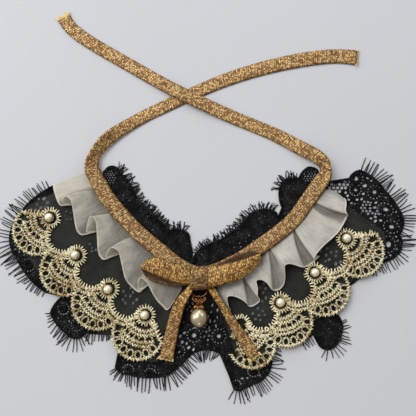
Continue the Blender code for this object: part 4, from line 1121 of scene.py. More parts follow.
def flounce_holes(points, outline, draw):
    """The flounce's openings: eyelets first, then net, then pinholes where it is dense."""
    border = Border(outline)
    holes = []

    def is_free(point, margin, gap):
        if border.distance(point) < margin:
            return False
        return all((hole.centre - point).length > gap + max(hole.radii) for hole in holes)

    for rosette in LACE_ROSETTES:
        if rosette.eye and inside(outline, plan(rosette)):
            eye = (rosette.long * rosette.eye, rosette.short * rosette.eye)
            holes.append(Hole(plan(rosette), eye, math.radians(rosette.turn), 10))
    for rosette in LACE_ROSETTES:
        for point in rosette_ring(rosette, 1.0, 1.2, 13):
            if inside(outline, point) and is_free(point, 1.0, 0.8):
                holes.append(Hole(point, SEED_HOLES, any_turn(draw), 6))
    for point, _ in along_run(beside(points, -CHAIN_INSET), CHAIN_STEP):
        if point.x > CHAIN_FROM and inside(outline, point) and is_free(point, 1.2, 1.0):
            holes.append(Hole(point, CHAIN_HOLES, any_turn(draw), 8))
    for cluster in LACE_CLUSTERS:
        for point in cluster_points(cluster, draw):
            share = draw.uniform(0.88, 1.28)
            size = cluster.long * share
            if inside(outline, point) and is_free(point, size + 0.5, size * 0.9 + 0.3):
                turn = math.radians(cluster.slant + draw.gauss(0.0, 18.0))
                holes.append(Hole(point, (size, cluster.short * share), turn, 10))
    for patch in LACE_NET:
        for point in lattice(outline, patch.step, draw, 0.08):
            near = (point - plan(patch)).length < patch.radius
            if near and is_free(point, patch.size + 0.4, 0.55):
                holes.append(Hole(point, (patch.size, patch.size), draw.uniform(0.0, 1.0), 6))
    for patch in LACE_PINHOLES:
        for point in lattice(outline, patch.step, draw, 0.8):
            if (point - plan(patch)).length > patch.radius or draw.random() < 0.55:
                continue
            if any((point - plan(row)).length < row.long + 0.9 for row in LACE_ROSETTES):
                continue
            size = patch.size * draw.uniform(0.6, 1.25)
            if is_free(point, size + 0.9, size + 0.5):
                holes.append(Hole(point, (size, size * 0.75), any_turn(draw), 6))
    return holes


def frill_holes(outline, draw):
    """Net at the outer ends of the frills, and few small eyelets where they are dense."""
    border = Border(outline)
    holes = []
    for patch in FRILL_NET:
        for point in lattice(outline, patch.step, draw, 0.12):
            near = (point - plan(patch)).length < patch.radius
            if near and border.distance(point) > 1.2:
                holes.append(Hole(point, (patch.size, patch.size), draw.uniform(0.0, 1.0), 6))
    for point in lattice(outline, 4.6, draw, 1.4):
        clump = rough(point, 0.09, 3.0)
        by_net = any((point - plan(patch)).length < patch.radius + 1.2 for patch in FRILL_NET)
        if clump > 0.12 and not by_net and border.distance(point) > 2.2:
            size = draw.uniform(0.35, 0.6)
            holes.append(Hole(point, (size, size * 0.8), any_turn(draw), 6))
    return holes


class HoleTable:
    """Openings sorted by where they are, so that the ones near a point are quick to find."""

    def __init__(self, holes):
        self.cells = {}
        for hole in holes:
            column, row = self.cell(hole.centre)
            for dx in (-1, 0, 1):
                for dy in (-1, 0, 1):
                    self.cells.setdefault((column + dx, row + dy), []).append(hole)

    def cell(self, point):
        return round(point.x / 4), round(point.y / 4)

    def holds(self, point, share):
        """Whether a point is in an opening, within a share of its size."""
        return any(hole.holds(point, share) for hole in self.cells.get(self.cell(point), ()))


def cut_cloth(model, outline, holes, step, height, draw):
    """A flat sheet cut to an outline with openings, at the height of each point."""
    points = list(outline)
    count = len(points)
    edges = [(i, (i + 1) % count) for i in range(count)]
    for hole in holes:
        ring = hole.ring()
        first = len(points)
        points.extend(ring)
        edges.extend((first + i, first + (i + 1) % len(ring)) for i in range(len(ring)))
    table = HoleTable(holes)
    border = Border(points)
    for point in lattice(outline, step, draw, step * 0.12):
        if border.distance(point) > step * 0.45 and not table.holds(point, 1.1):
            points.append(point)
    made = geometry.delaunay_2d_cdt(points, edges, [list(range(count))], 1, 1e-5)
    places, triangles = made[0], made[2]
    first = len(model.points)
    for place in places:
        model.points.append(raised(place, height(place)))
        model.lays.append((place.x, place.y))
    for triangle in triangles:
        middle = sum((places[i] for i in triangle), Vector((0.0, 0.0))) / len(triangle)
        if not table.holds(middle, 0.9):
            model.faces.append(tuple(first + i for i in triangle))


def lashes(model, points, reaches, draw, spread, crowd):
    """Eyelash threads that stand out from the right of an edge, in loose groups."""
    radius = size_of("lash_radius")
    spacing = size_of("lash_spacing")
    rights = rights_of(points)
    travelled = 0.0
    following = 0.0
    for index in range(len(points) - 1):
        side = points[index + 1] - points[index]
        while following < travelled + side.length:
            share = (following - travelled) / side.length
            following += spacing / crowd * draw.choice((0.6, 0.8, 1.0, 1.15, 1.45))
            reach = reaches[index] * (1 - share) + reaches[index + 1] * share
            if min(reaches[index], reaches[index + 1]) <= 0:
                continue
            right = rights[index].lerp(rights[index + 1], share).normalized()
            root = points[index] + side * share - right * LASH_ROOT
            group = 5.5 * math.sin(following * 0.43) + 4.5 * math.sin(following * 0.17 + 1.0)
            outward = rotated(right, math.radians(group + draw.gauss(0.0, spread)))
            bend = rotated(outward, math.radians(draw.gauss(0.0, 3.0 * spread)))
            reach = (reach + LASH_ROOT) * draw.uniform(0.80, 1.18)
            path = []
            for i in range(LASH_SPANS + 1):
                part = i / LASH_SPANS
                place = root + (outward * (1 - part * 0.5) + bend * part * 0.5) * reach * part
                path.append(raised(place, 0.75 - 0.35 * part + draw.uniform(-0.08, 0.1)))
            thick = radius * draw.uniform(0.85, 1.2)
            tapers = [1.0 - 0.35 * i / LASH_SPANS for i in range(LASH_SPANS + 1)]
            model.rod(path, [thick * taper for taper in tapers], 4)
        travelled += side.length


def lace_height(lift):
    """Heights of a lace sheet: small gathers that run out from the neck."""
    def height(point):
        turn = direction(point - GATHERS_FROM)
        fold = math.sin(turn * 46.0 + 0.6 * math.sin(turn * 9.0))
        return LACE_FLOOR + lift * (0.5 + 0.5 * fold) + 0.12 * rough(point, 0.12, 0.0)
    return height


def edge_cord(model, points, height):
    """A thick thread along an edge, a little inside it, with a scalloped line."""
    inner = beside(points, -0.5)
    path = [
        raised(point, height(point) + 0.2 + 0.08 * math.sin(travelled * 2.4))
        for point, travelled in zip(inner, distances(inner))
    ]
    model.rod(path, CORD, 6, 0.8)


def scallops(model, points, height):
    """A row of small cord loops just inside an edge."""
    for middle, along in along_run(points, 4.0):
        right = right_of(along)
        towards = direction(right)
        loop = arc(middle - right * 2.9, 1.8, towards - 1.9, towards + 1.9, 0.6)
        model.rod([raised(point, height(point) + 0.25) for point in loop], SCALLOP, 5, 0.9)


def rosettes(model, outline, height):
    """Padded rings, each of three cords that lie side by side."""
    for rosette in LACE_ROSETTES:
        if inside(outline, plan(rosette)):
            for share, thick in ROSETTE_CORDS:
                lift = 0.15 + thick * 0.45
                ring = rosette_ring(rosette, share, 0.0, 22)
                path = [raised(point, height(point) + lift) for point in ring]
                model.rod(path, thick, 5, 0.8, closed=True)


def lace_piece(name, edges, neck, lash_name, stands_for, lash_nodes, seed, lift, is_flounce):
    """A lace sheet with its corded edge, and its eyelashes as a piece of their own."""
    draw = random.Random(seed)
    points, reaches = edge_run(edges)
    outline = points + neck
    height = lace_height(lift)
    holes = flounce_holes(points, outline, draw) if is_flounce else frill_holes(outline, draw)
    model = Model()
    cut_cloth(model, outline, holes, LACE_MESH, height, draw)
    edge_cord(model, points, height)
    scallops(model, points, height)
    if is_flounce:
        rosettes(model, outline, height)
    for hole in holes:
        if max(hole.radii) > 0.6:
            hole.radii += Vector((0.16, 0.16))
            path = [raised(point, height(point) + 0.15) for point in hole.ring()]
            model.rod(path, EYE_THREAD, 4, closed=True)
    sheet = model.piece(name, black_lace, "black_lace", stands_for)
    threads = Model()
    lashes(threads, points, reaches, draw, *(FLOUNCE_LASHES if is_flounce else FRILL_LASHES))
    return sheet, threads.piece(lash_name, black_thread, "black_fringe", lash_nodes)


def make_lace_flounce():
    neck = neck_run(NECK_RIGHT, NECK_SEAM)[::-1] + neck_run(NECK_LEFT, -NECK_SEAM)
    sheet, fringe = lace_piece(
        "lace_flounce_cloth", LACE_FLOUNCE, neck, "flounce_eyelashes", ["lace_flounce"],
        nodes_named("flounce_fringe"), 11, 0.35, True,
    )


def make_neck_frills():
    for side, edges, neck, seed in (
        ("left", NECK_FRILL_LEFT, neck_run(NECK_LEFT, NECK_SEAM)[::-1][3:], 21),
        ("right", NECK_FRILL_RIGHT, neck_run(NECK_RIGHT, -NECK_SEAM)[:-2], 22),
    ):
        sheet, fringe = lace_piece(
            f"neck_frill_{side}_cloth", edges, neck, f"frill_eyelashes_{side}",
            [f"neck_frill_{side}"], nodes_named(f"frill_fringe_{side}"), seed, 0.5, False,
        )


# ---------------------------------------------------------------- organza

ORGANZA_MIDDLE = 1.8     # its middle height
ORGANZA_MESH = 3.2       # between the points inside a panel
ORGANZA_HEM = 0.16       # radius of the rolled thread round a panel


def organza_height(point):
    """The height of the organza, which dips and rises a little."""
    return ORGANZA_MIDDLE + 0.25 * rough(point, 0.08, 7.0)


def make_organza_panels():
    left = edge_run(ORGANZA_PANEL_LEFT, 2.4)[0] + neck_run(NECK_LEFT, -NECK_SEAM)[2:-4]
    right = edge_run(ORGANZA_PANEL_RIGHT, 2.4)[0] + neck_run(NECK_RIGHT, NECK_SEAM)[::-1][4:-2]
    for side, outline, seed in (("left", left, 31), ("right", right, 32)):
        model = Model()
        cut_cloth(model, outline, [], ORGANZA_MESH, organza_height, random.Random(seed))
        path = [raised(point, organza_height(point)) for point in outline]
        model.rod(path, ORGANZA_HEM, 5, closed=True)
        sheet = model.piece(f"organza_{side}_cloth", organza, "organza", [f"organza_panel_{side}"])


# ---------------------------------------------------------------- gold trims

STITCH_FOOT = 2.9        # height of a stitch's ends
STITCH_CROWN = 3.75      # and of its middle
# The padding under the stitches: its middle, its half height and its share of the width.
PAD_MIDDLE, PAD_RISE, PAD_SHARE = 3.0, 0.38, 0.38
FLOWER_RADIUS = 4.75     # of a flower's wrapped ring
GAP_RADIUS = 9.2         # of the clear arc between two flowers
FULL_FAN = 17.4          # the fan radius that the sizes inside a fan are for

Wrap = namedtuple("Wrap", "share height thick")
TOOTH = rows_of(Wrap, (
    (0.0, 3.3, 0.8), (0.35, 3.75, 1.0), (0.75, 3.7, 0.95), (0.93, 3.6, 0.7), (1.0, 3.5, 0.3),
))
# A fan's bands, with a gap between the first pair and the second. spread is degrees on
# each side.
FanBand = namedtuple("FanBand", "radius width spread")
FAN_BANDS = rows_of(FanBand, ((10.4, 3.3, 82), (13.1, 3.0, 84), (17.5, 3.1, 60), (20.0, 2.6, 52)))
# Degrees from a fan's middle to the bars beside its flower, and to those between its bands.
FLOWER_BARS = (-68.0, -56.0, 56.0, 68.0)
FAN_BARS = (-46.0, -35.0, -18.0, -6.0, 8.0, 20.0, 37.0, 48.0)
EYELET_RADII = (2.65, 1.95)
# Rows of teeth: the space between two, how far they start before the run and end beyond
# it, and their radius.
FLOWER_TEETH = (1.55, 0.9, 1.8, 0.32)
SIDE_TEETH = (2.2, 0.5, 3.1, 0.38)
GAP_TEETH = (2.1, 0.8, 2.1, 0.38)


def anywhere(point):
    """Lets a stitch lie at every point."""
    return True


class Trim:
    """A gold trim while its satin stitches are being laid."""

    def __init__(self, seed):
        self.stitches = Model()
        self.ground = Model()
        self.draw = random.Random(seed)
        self.radius = size_of("stitch_radius")
        self.spacing = size_of("stitch_spacing")

    def stitch(self, start, end, crown):
        """One thread over the padding, thin at its ends."""
        third = (end - start) / 3
        path = [
            raised(start, STITCH_FOOT), raised(start + third, crown),
            raised(end - third, crown), raised(end, STITCH_FOOT),
        ]
        thick = self.radius * self.draw.uniform(0.75, 1.3)
        radii = [thick * 0.6, thick, thick, thick * 0.6]
        self.stitches.rod(path, radii, 4, mark=self.draw.random())

    def tooth(self, root, tip, thick):
        """A thick wrapped picot that stands out from a band."""
        reach = tip - root
        path = [raised(root + reach * wrap.share, wrap.height) for wrap in TOOTH]
        radii = [thick * wrap.thick for wrap in TOOTH]
        self.stitches.rod(path, radii, 6, mark=self.draw.uniform(0.35, 1.0))

    def teeth(self, run, towards, spacing, back, reach, thick):
        """Picots along a run. towards gives each one's direction from its root."""
        for point, _ in along_run(run, spacing):
            way = rotated(towards(point), self.draw.gauss(0.0, 0.18))
            far = reach * self.draw.uniform(0.75, 1.15)
            self.tooth(point - way * back, point + way * far, thick * self.draw.uniform(0.85, 1.1))

    def padding(self, path, width, keep):
        """A flat core under each stretch of the path that is kept."""
        runs = [[]]
        for point in path:
            if keep(point):
                runs[-1].append(raised(point, PAD_MIDDLE))
            elif runs[-1]:
                runs.append([])
        radius = width * PAD_SHARE
        for run in runs:
            if len(run) > 1:
                self.ground.rod(run, radius, 6, PAD_RISE / radius)

    def satin(self, path, width, slant, crown=STITCH_CROWN, picot=0.0, keep=anywhere):
        """A satin column along a path: threads side by side across it, some crossing. Every
        third reaches further out by picot."""
        self.padding(path, width, keep)
        for index, (centre, along) in enumerate(along_run(path, self.spacing)):
            if not keep(centre):
                continue
            right = right_of(along)
            half = width / 2 * self.draw.uniform(0.85, 1.12)
            tilt = along * slant * width * (1 if index % 2 else -1) * self.draw.uniform(0.1, 0.95)
            shift = along * self.draw.uniform(-0.2, 0.2)
            far = half + (picot if index % 3 == 0 else 0.0)
            self.stitch(centre - right * half - tilt + shift, centre + right * far + tilt + shift,
                        crown + self.draw.uniform(-0.2, 0.18))


class TrimPlan:
    """Where the flowers, the fans and the clear arcs between flowers of a trim are."""

    def __init__(self, motifs):
        self.fans = [Vector((row.fan_x, row.fan_y)) for row in motifs]
        self.flowers = [Vector((row.flower_x, row.flower_y)) for row in motifs]
        self.sizes = [row.fan_radius / FULL_FAN for row in motifs]
        self.gaps = [(a + b) / 2 for a, b in zip(self.flowers, self.flowers[1:])]

    def clear_of_gaps(self, number):
        """A test that a point is outside the clear arcs beside a flower."""
        gaps = self.gaps[max(number - 1, 0):number + 1]
        return lambda point: all((point - gap).length > GAP_RADIUS + 1.0 for gap in gaps)

    def clear_of_fans(self, number):
        """A test that a point is outside every other fan."""
        fans = [fan for index, fan in enumerate(self.fans) if index != number]
        return lambda point: all((point - fan).length > 15.6 for fan in fans)


def stitch_flower(trim, flower):
    """A wrapped ring with teeth all round it."""
    ring, outer = (arc(flower, radius, 0.0, 2 * math.pi, 0.7) for radius in (FLOWER_RADIUS, 5.5))
    trim.satin(ring, 2.1, 0.3, crown=3.9)
    trim.teeth(outer, lambda point: (point - flower).normalized(), *FLOWER_TEETH)


def stitch_fan(trim, layout, number):
    """Bands, bars and eyelets of a fan, and its border with picots."""
    fan, flower, size = layout.fans[number], layout.flowers[number], layout.sizes[number]
    out = direction(fan - flower)
    is_clear = layout.clear_of_gaps(number)
    is_alone = layout.clear_of_fans(number)

    def in_fan(point):
        return (point - fan).length < 11.4 * size and is_clear(point)

    def on_border(point):
        return is_clear(point) and is_alone(point)

    for row in FAN_BANDS:
        band_run = arc_about(flower, row.radius * size, out, row.spread)
        trim.satin(band_run, row.width, 0.5, keep=in_fan)
    for bar in FLOWER_BARS:
        way = ray(out + math.radians(bar))
        trim.satin([flower + way * 6.5, flower + way * 10.0], 2.6, 0.3, keep=is_clear)
    for bar in FAN_BARS:
        way = ray(out + math.radians(bar + trim.draw.uniform(-3.0, 3.0)))
        ends = [flower + way * reach * size for reach in (14.2, 16.6)]
        trim.satin(ends, 1.3, 0.6, keep=in_fan)
    for i in range(-3, 4):
        turn = out + math.radians(22.6 * i)
        centre = fan + ray(turn) * 13.3 * size
        if is_clear(centre):
            turns = [2 * math.pi * k / 18 for k in range(19)]
            trim.satin(oval(centre, EYELET_RADII, turn, turns), 1.35, 0.2, crown=3.7)
    border = arc_about(fan, 16.1 * size, out, 96.0)
    trim.satin(border, 2.5, 0.35, crown=3.8, picot=0.6, keep=on_border)


def stitch_side(trim, layout, number, neighbour):
    """The straight side of an end fan, with teeth that point away from its neighbour."""
    fan, flower = layout.fans[number], layout.flowers[number]
    ahead = (flower - fan).normalized()
    away = -right_of(ahead)
    away *= math.copysign(1.0, away.dot(fan - layout.fans[neighbour]))
    start = flower + away * 5.0 - ahead * 2.4
    run = arc_side(start, fan + away * 15.4 + ahead * 0.5, 0.0, 1.0)
    trim.satin(run, 3.0, 0.4, crown=3.8)
    trim.teeth(run, lambda point: (ahead + away * 0.5).normalized(), *SIDE_TEETH)


def stitch_gap(trim, layout, index):
    """The hollow arc between two flowers, with long spikes that point into it."""
    gap = layout.gaps[index]
    middle = direction((layout.fans[index] + layout.fans[index + 1]) / 2 - gap)
    outer = arc_about(gap, GAP_RADIUS + 2.2, middle, -84.0)[::-1]
    trim.satin(outer, 2.8, 0.4, crown=3.8)
    inner = arc_about(gap, GAP_RADIUS + 1.2, middle, 84.0)
    trim.teeth(inner, lambda point: (gap - point).normalized(), *GAP_TEETH)
    trim.satin(arc_about(gap, GAP_RADIUS + 5.0, middle, 50.0), 2.6, 0.5)


def make_gold_trims():
    for side, motifs, seed in (("left", GOLD_TRIM_LEFT, 41), ("right", GOLD_TRIM_RIGHT, 42)):
        trim = Trim(seed)
        layout = TrimPlan(motifs)
        last = len(motifs) - 1
        for number, motif in enumerate(motifs):
            stitch_flower(trim, layout.flowers[number])
            stitch_fan(trim, layout, number)
            if number in (0, last) and motif.pearl:
                stitch_side(trim, layout, number, 1 if number == 0 else last - 1)
        for index in range(len(layout.gaps)):
            stitch_gap(trim, layout, index)
        name = f"gold_trim_{side}"
        trim.stitches.piece(f"{name}_stitches", gold_thread, "gold_lace", [name])
        trim.ground.piece(f"{name}_padding", gold_ground, "gold_lace")


def bead_profile(radius, stretch=1.0, bore=0.42, steps=18):
    """A pearl's profile with the dimple of its bore at each end."""
    dimple = radius * stretch * 0.80
    profile = [(-dimple, bore * 0.55)]
    for i in range(steps + 1):
        turn = math.pi * (i / steps) * 0.94 + math.pi * 0.03
        profile.append((-math.cos(turn) * radius * stretch, max(bore, math.sin(turn) * radius)))
    profile.append((dimple, bore * 0.55))
    return profile


def make_trim_pearls():
    radius = size_of("trim_pearl_radius")
    for side, motifs in (("left", GOLD_TRIM_LEFT), ("right", GOLD_TRIM_RIGHT)):
        for number, motif in enumerate((row for row in motifs if row.pearl), start=1):
            centre = Vector((motif.flower_x + motif.dx, motif.flower_y + motif.dy, 2.6 + radius))
            model = Model()
            model.turned(centre, raised(ray(motif.flower_x), 0.0), bead_profile(radius), 32)
            name = f"trim_pearl_{side}_{number}"
            model.piece(f"{name}_bead", trim_nacre, "pearl", [name])


# ---------------------------------------------------------------- ruffles

RUFFLE_FLOOR = 3.1       # the height that a pleat's rise starts from
RUFFLE_SPANS = 16        # between neck and hem
HEM_PLACE = 24.0         # where the hem is on the cloth, from the neck


def make_ruffle(side, pleats, finish):
    """A pleated chiffon ruffle with a rolled hem."""
    necks, middles, hems = (
        smooth_run([Vector(row[part:part + 3]) for row in pleats], 5) for part in (0, 3, 6)
    )
    lines = []
    for neck, middle, hem, travelled in zip(necks, middles, hems, distances(hems)):
        line = [(raised(neck + (neck - middle).normalized() * 2.6, 3.0), (travelled, -3.0))]
        for i in range(RUFFLE_SPANS + 1):
            t = i / RUFFLE_SPANS
            point = neck * (1 - t) * (1 - 2 * t) + middle * 4 * t * (1 - t) + hem * t * (2 * t - 1)
            swell = 1 + 0.55 * min(1.0, max(0.0, (abs(point.x) - 36.0) / 12.0))
            rise = (point.z - RUFFLE_FLOOR) * (1 - t + swell * t)
            ripple = 0.22 * noise.noise(Vector((travelled * 0.22, t * 2.5, 5.0)))
            place = raised(point, RUFFLE_FLOOR + rise + ripple * t)
            line.append((place, (travelled, t * HEM_PLACE)))
        lines.append(line)
    model = Model()
    model.grid(lines)
    first = len(model.points)
    model.rod([line[-1][0] for line in lines], 0.22, 6)
    for index in range(first, len(model.points)):
        model.lays[index] = (model.lays[index][1], HEM_PLACE)
    node = f"chiffon_ruffle_{side}"
    sheet = model.piece(f"{node}_cloth", finish, "chiffon", [node])


# ---------------------------------------------------------------- ribbons

NECK_RIBBON_HEIGHT = 4.75
# A band's outline: shares of its half width, over its upper face and back under it.
SHARES = [-1 + j / 4 for j in range(9)]
SECTION = [(share, 1) for share in SHARES] + [(-share, -1) for share in SHARES[1:-1]]
CREASE = 0.12            # depth of the groove along a ribbon
LOOP_PAINTED_SHADE = 0.10            # painted shade on a loop's inner face, at its darkest
# The loose yarns at a cut end: how many, their radii from root to tip, how far inside they start,
# and their painted highlight, which mixes their colour toward the glint colour.
YARNS = 26
YARN_RADII = (0.27, 0.27, 0.24, 0.19, 0.12)
YARN_ROOT = 0.8
YARN_PAINTED_HIGHLIGHT = 1.75
RIM_REACH = 2.4          # the longest yarn that has no rim


def ribbon_rails(bends):
    """The two edges of a ribbon through its bends, left one first."""
    middles = smooth_run([Vector((row.x, row.y, row.z)) for row in bends])
    banks = smooth_run([row.bank for row in bends])
    widths = smooth_run([row.width for row in bends])
    lefts = []
    rights = []
    for index, middle in enumerate(middles):
        along = heading(middles, index)
        left = raised(-right_of(along), 0.0).normalized()
        left = Matrix.Rotation(math.radians(banks[index]), 3, along) @ left
        lefts.append(middle + left * widths[index] / 2)
        rights.append(middle - left * widths[index] / 2)
    return lefts, rights


def band(model, lefts, rights, seed, wave, crease=0.0, puffs=None):
    """A flattened knitted tube between two edges, closed at both ends. With puffs it is a loop of
    the bow, and its lower face looks inside and gets painted shade, darkest in its middle and
    lighter towards its rims."""
    thick = size_of("ribbon_thickness")
    middles = [(left + right) / 2 for left, right in zip(lefts, rights)]
    lines = []
    shaded = len(model.points)
    for index, (middle, travelled) in enumerate(zip(middles, distances(middles))):
        across = rights[index] - lefts[index]
        up = across.cross(heading(middles, index)).normalized()
        line = []
        for share, face in SECTION:
            depth = thick / 2 * math.sqrt(max(0.0, 1 - abs(share) ** 5)) * face
            bow = puffs[index] * (1 - share * share) if puffs else 0.0
            dent = -crease * math.exp(-((share + 0.35) / 0.12) ** 2) * (1 if face > 0 else 0.3)
            sway = wave * noise.noise(Vector((travelled * 0.12, share * 0.8, seed)))
            # painted shade on the loop's inner face
            if puffs and face < 0:
                rim = max(0.0, (abs(share) - 0.5) / 0.5)
                model.shades[shaded + len(line)] = LOOP_PAINTED_SHADE + 0.75 * rim ** 1.5
            place = middle + across / 2 * share + up * (depth + bow + dent + sway)
            line.append((place, (share * across.length / 2, travelled)))
        shaded += len(line)
        lines.append(line)
    model.grid(lines, closed=True, capped=True)


def fray(model, left, right, outward, draw, reach):
    """Loose yarn ends at a cut end, and the rim that they come from. Both get a painted highlight
    that mixes their colour toward the glint colour.
    """
    first = len(model.points)
    if reach > RIM_REACH:
        rim = [left.lerp(right, i / 8) + UP * 0.35 - outward * 0.5 for i in range(9)]
        model.rod(rim, 0.42, 6, 0.8)
    side = (right - left).normalized()
    for i in range(YARNS):
        share = (i + draw.uniform(-0.3, 0.3) + 0.5) / YARNS
        root = left.lerp(right, min(1.0, max(0.0, share))) - outward * YARN_ROOT
        fan = outward + side * (share - 0.5) * 0.9 + side * draw.gauss(0.0, 0.18)
        size = reach * draw.uniform(0.45, 1.15) + YARN_ROOT
        path = []
        for k in range(5):
            part = k / 4
            lift = UP * (draw.uniform(-0.10, 0.28) * part)
            stray = side * draw.uniform(-0.12, 0.12) * part
            path.append(root + fan * size * part + stray + lift)
        model.rod(path, YARN_RADII, 4)
    # painted highlight on the yarns and the rim
    for index in range(first, len(model.points)):
        model.shades[index] = YARN_PAINTED_HIGHLIGHT


def ribbon_piece(name, bends, stands_for, frays, seed):
    """A length of the gold ribbon. frays holds the reach of the loose yarn at each end."""
    draw = random.Random(seed)
    lefts, rights = ribbon_rails(bends)
    model = Model()
    band(model, lefts, rights, seed, 0.16, CREASE)
    for reach, end, inner in zip(frays, (0, -1), (1, -2)):
        if reach:
            outward = ((lefts[end] + rights[end]) - (lefts[inner] + rights[inner])).normalized()
            fray(model, lefts[end], rights[end], outward, draw, reach)
    piece = model.piece(name, gold_ribbon, "gold_ribbon", stands_for)


def make_neck_ribbon():
    """The ribbon over the neck seam, which runs on at both ends as the ties."""
    bends = [row._replace(bank=-row.bank) for row in TIE_LEFT[:0:-1]]
    for x, y in NECK_LEFT[::-1] + NECK_RIGHT:
        # It is level under the bow and banked elsewhere.
        bends.append(Bend(x, y, NECK_RIBBON_HEIGHT, 0.0 if abs(x) < 11.4 else -7.0, 10.0))
    bends.extend(TIE_RIGHT[1:])
    ribbon_piece(
        "ribbon_knit", bends, ["neck_ribbon", "tie_left", "tie_right"],
        (1.6, 2.6), 51,
    )


def make_tails():
    ribbon_piece("bow_tail_left_knit", TAIL_LEFT, ["bow_tail_left"],
                 (0.0, 1.3), 54)
    ribbon_piece("bow_tail_right_knit", TAIL_RIGHT, ["bow_tail_right"],
                 (0.0, 2.2), 55)


def make_loops():
    """The bow's two loops."""
    for side, rails, parts, seed in (
        ("left", LOOP_LEFT, ("foot", "top"), 61), ("right", LOOP_RIGHT, ("top", "foot"), 62),
    ):
        lefts, rights = (
            smooth_run([Vector(getattr(row, part)) for row in rails]) for part in parts
        )
        model = Model()
        band(model, lefts, rights, seed, 0.3, puffs=smooth_run([row.puff for row in rails]))
        node = f"bow_loop_{side}"
        loop = model.piece(f"{node}_knit", gold_ribbon, "gold_ribbon", [node])


# Half the knot's size across, along and up, the height of its middle, and the way round it.
KNOT_ACROSS, KNOT_ALONG, KNOT_UP = 5.75, 7.1, 3.75
KNOT_HEIGHT = 9.45
KNOT_ROUND = 34.0
KNOT_STEPS = 44
# Two grooves round it: how far left of its middle, and how wide, as shares of the half.
KNOT_GROOVES = ((0.5, 0.13), (-0.6, 0.1))


def make_knot():
    """The band that gathers the bow: a soft roll of ribbon, open at its ends, with painted shade
    over it, a painted highlight along its crown and deeper painted shade in its grooves.
    """
    shares = [-1 + 2 * i / 14 for i in range(15)]
    columns = [(share, 0.0) for share in shares] + [(-share, 1.0) for share in shares]
    model = Model()
    lines = []
    for share, depth in columns:
        edge = 1 - 0.12 * abs(share) ** 5
        groove = sum(0.06 * math.exp(-((share + at) / wide) ** 2) for at, wide in KNOT_GROOVES)
        line = []
        for j, turn in enumerate(circle_turns(KNOT_STEPS)):
            c, s = math.cos(turn), math.sin(turn)
            rolled = 1 + 0.04 * noise.noise(Vector((share * 2.2, c * 1.4, s * 1.4)))
            soft = edge * rolled * (1 - groove)
            y = (KNOT_ALONG * soft - depth) * math.copysign(abs(c) ** 0.75, c)
            z = (KNOT_UP * soft - depth) * math.copysign(abs(s) ** 0.75, s)
            # painted shading: a painted highlight along the crown, painted shade elsewhere, darker
            # in the grooves
            crown = math.exp(-((c - 0.62) / 0.28) ** 2)
            shade = (0.42 + 0.45 * crown) * (1 - 2.5 * groove)
            model.shades[len(lines) * KNOT_STEPS + j] = shade
            x = KNOT_X + (KNOT_ACROSS - 0.25 * depth) * share
            lay = (KNOT_ACROSS * share, KNOT_ROUND * j / KNOT_STEPS)
            line.append((Vector((x, y, KNOT_HEIGHT + z)), lay))
        lines.append(line)
    model.grid(lines, closed=True, looped=True)
    knot = model.piece("bow_knot_knit", gold_ribbon, "gold_ribbon", ["bow_knot"])


# ---------------------------------------------------------------- pendant

# The pendant's ring: where its centre is along the scarf, and its radii across and along.
RING_Y = -7.6
RING_RADII = (5.0, 3.7)
CHARM_WIRE = 0.26
EYE_RADIUS = 1.15
# Turned parts, as distances along the axis and radii there.
RING_BEAD = ((-0.36, 0.15), (-0.22, 0.38), (0.0, 0.46), (0.22, 0.38), (0.36, 0.15))
CHARM_BEAD = ((-0.3, 0.12), (-0.15, 0.33), (0.1, 0.38), (0.26, 0.2), (0.32, 0.06))
CAP = ((-0.2, 0.5), (0.0, 1.3), (0.5, 1.7), (1.0, 2.3), (1.6, 2.9))
# Wires of the charm's right half, from its top; the left half mirrors them.
CHARM_WIRES = (
    ((0.45, -3.7, 0), (1.2, -2.9, 0.2), (2.6, -1.9, 0.3), (3.9, -0.6, 0.2), (4.3, 0.7, 0)),
    ((0.35, -3.7, 0.2), (0.7, -2.4, 0.4), (1.2, -1.1, 0.5), (1.9, -0.4, 0.3), (2.2, 0.2, 0)),
    ((4.3, 0.7, 0), (3.7, 1.0, 0.3), (3.2, 0.3, 0.3), (3.5, -0.3, 0.2)),
    ((1.2, -1.1, 0.5), (1.9, -1.5, 0.4), (2.6, -1.9, 0.3)),
)
MIDDLE_WIRE = ((0, -3.7, 0.5), (-0.5, -2.0, 0.7), (0.3, -0.9, 0.6), (0.15, 0.1, 0.15))
CHARM_BEADS = ((-1.3, 0.0), (1.3, 0.0), (0.1, -0.2), (0.0, -2.4), (-3.0, -0.8), (3.0, -0.8))
# A petal of the cap: how far forward, how far out and how thick.
PETAL = ((-0.2, 1.0, 0.3), (0.7, 2.0, 0.42), (1.7, 3.05, 0.48), (2.4, 3.55, 0.2))
PETALS = 10


def ring_point(turn):
    """A point on the pendant's ring."""
    x = PENDANT_X - RING_RADII[0] * math.cos(turn)
    return Vector((x, RING_Y - RING_RADII[1] * math.sin(turn), PENDANT_Z))


def hung(x, y, z):
    """A point of the charm, from the middle of its top."""
    return Vector((PENDANT_X + x, CHARM_TOP + y, PENDANT_Z + z))


def make_ring():
    """The ring, a wire with small beads on it."""
    model = Model()
    model.rod([ring_point(math.pi * i / 24) for i in range(25)], 0.30, 8)
    for i in range(3, 23, 2):
        turn = math.pi * i / 24 + 0.03
        along = Vector((math.sin(turn), -math.cos(turn), 0.0)).normalized()
        model.turned(ring_point(turn), along, RING_BEAD, 10)
    model.piece("pendant_ring_wire", gold_metal, "gold_metal", ["pendant_ring"])


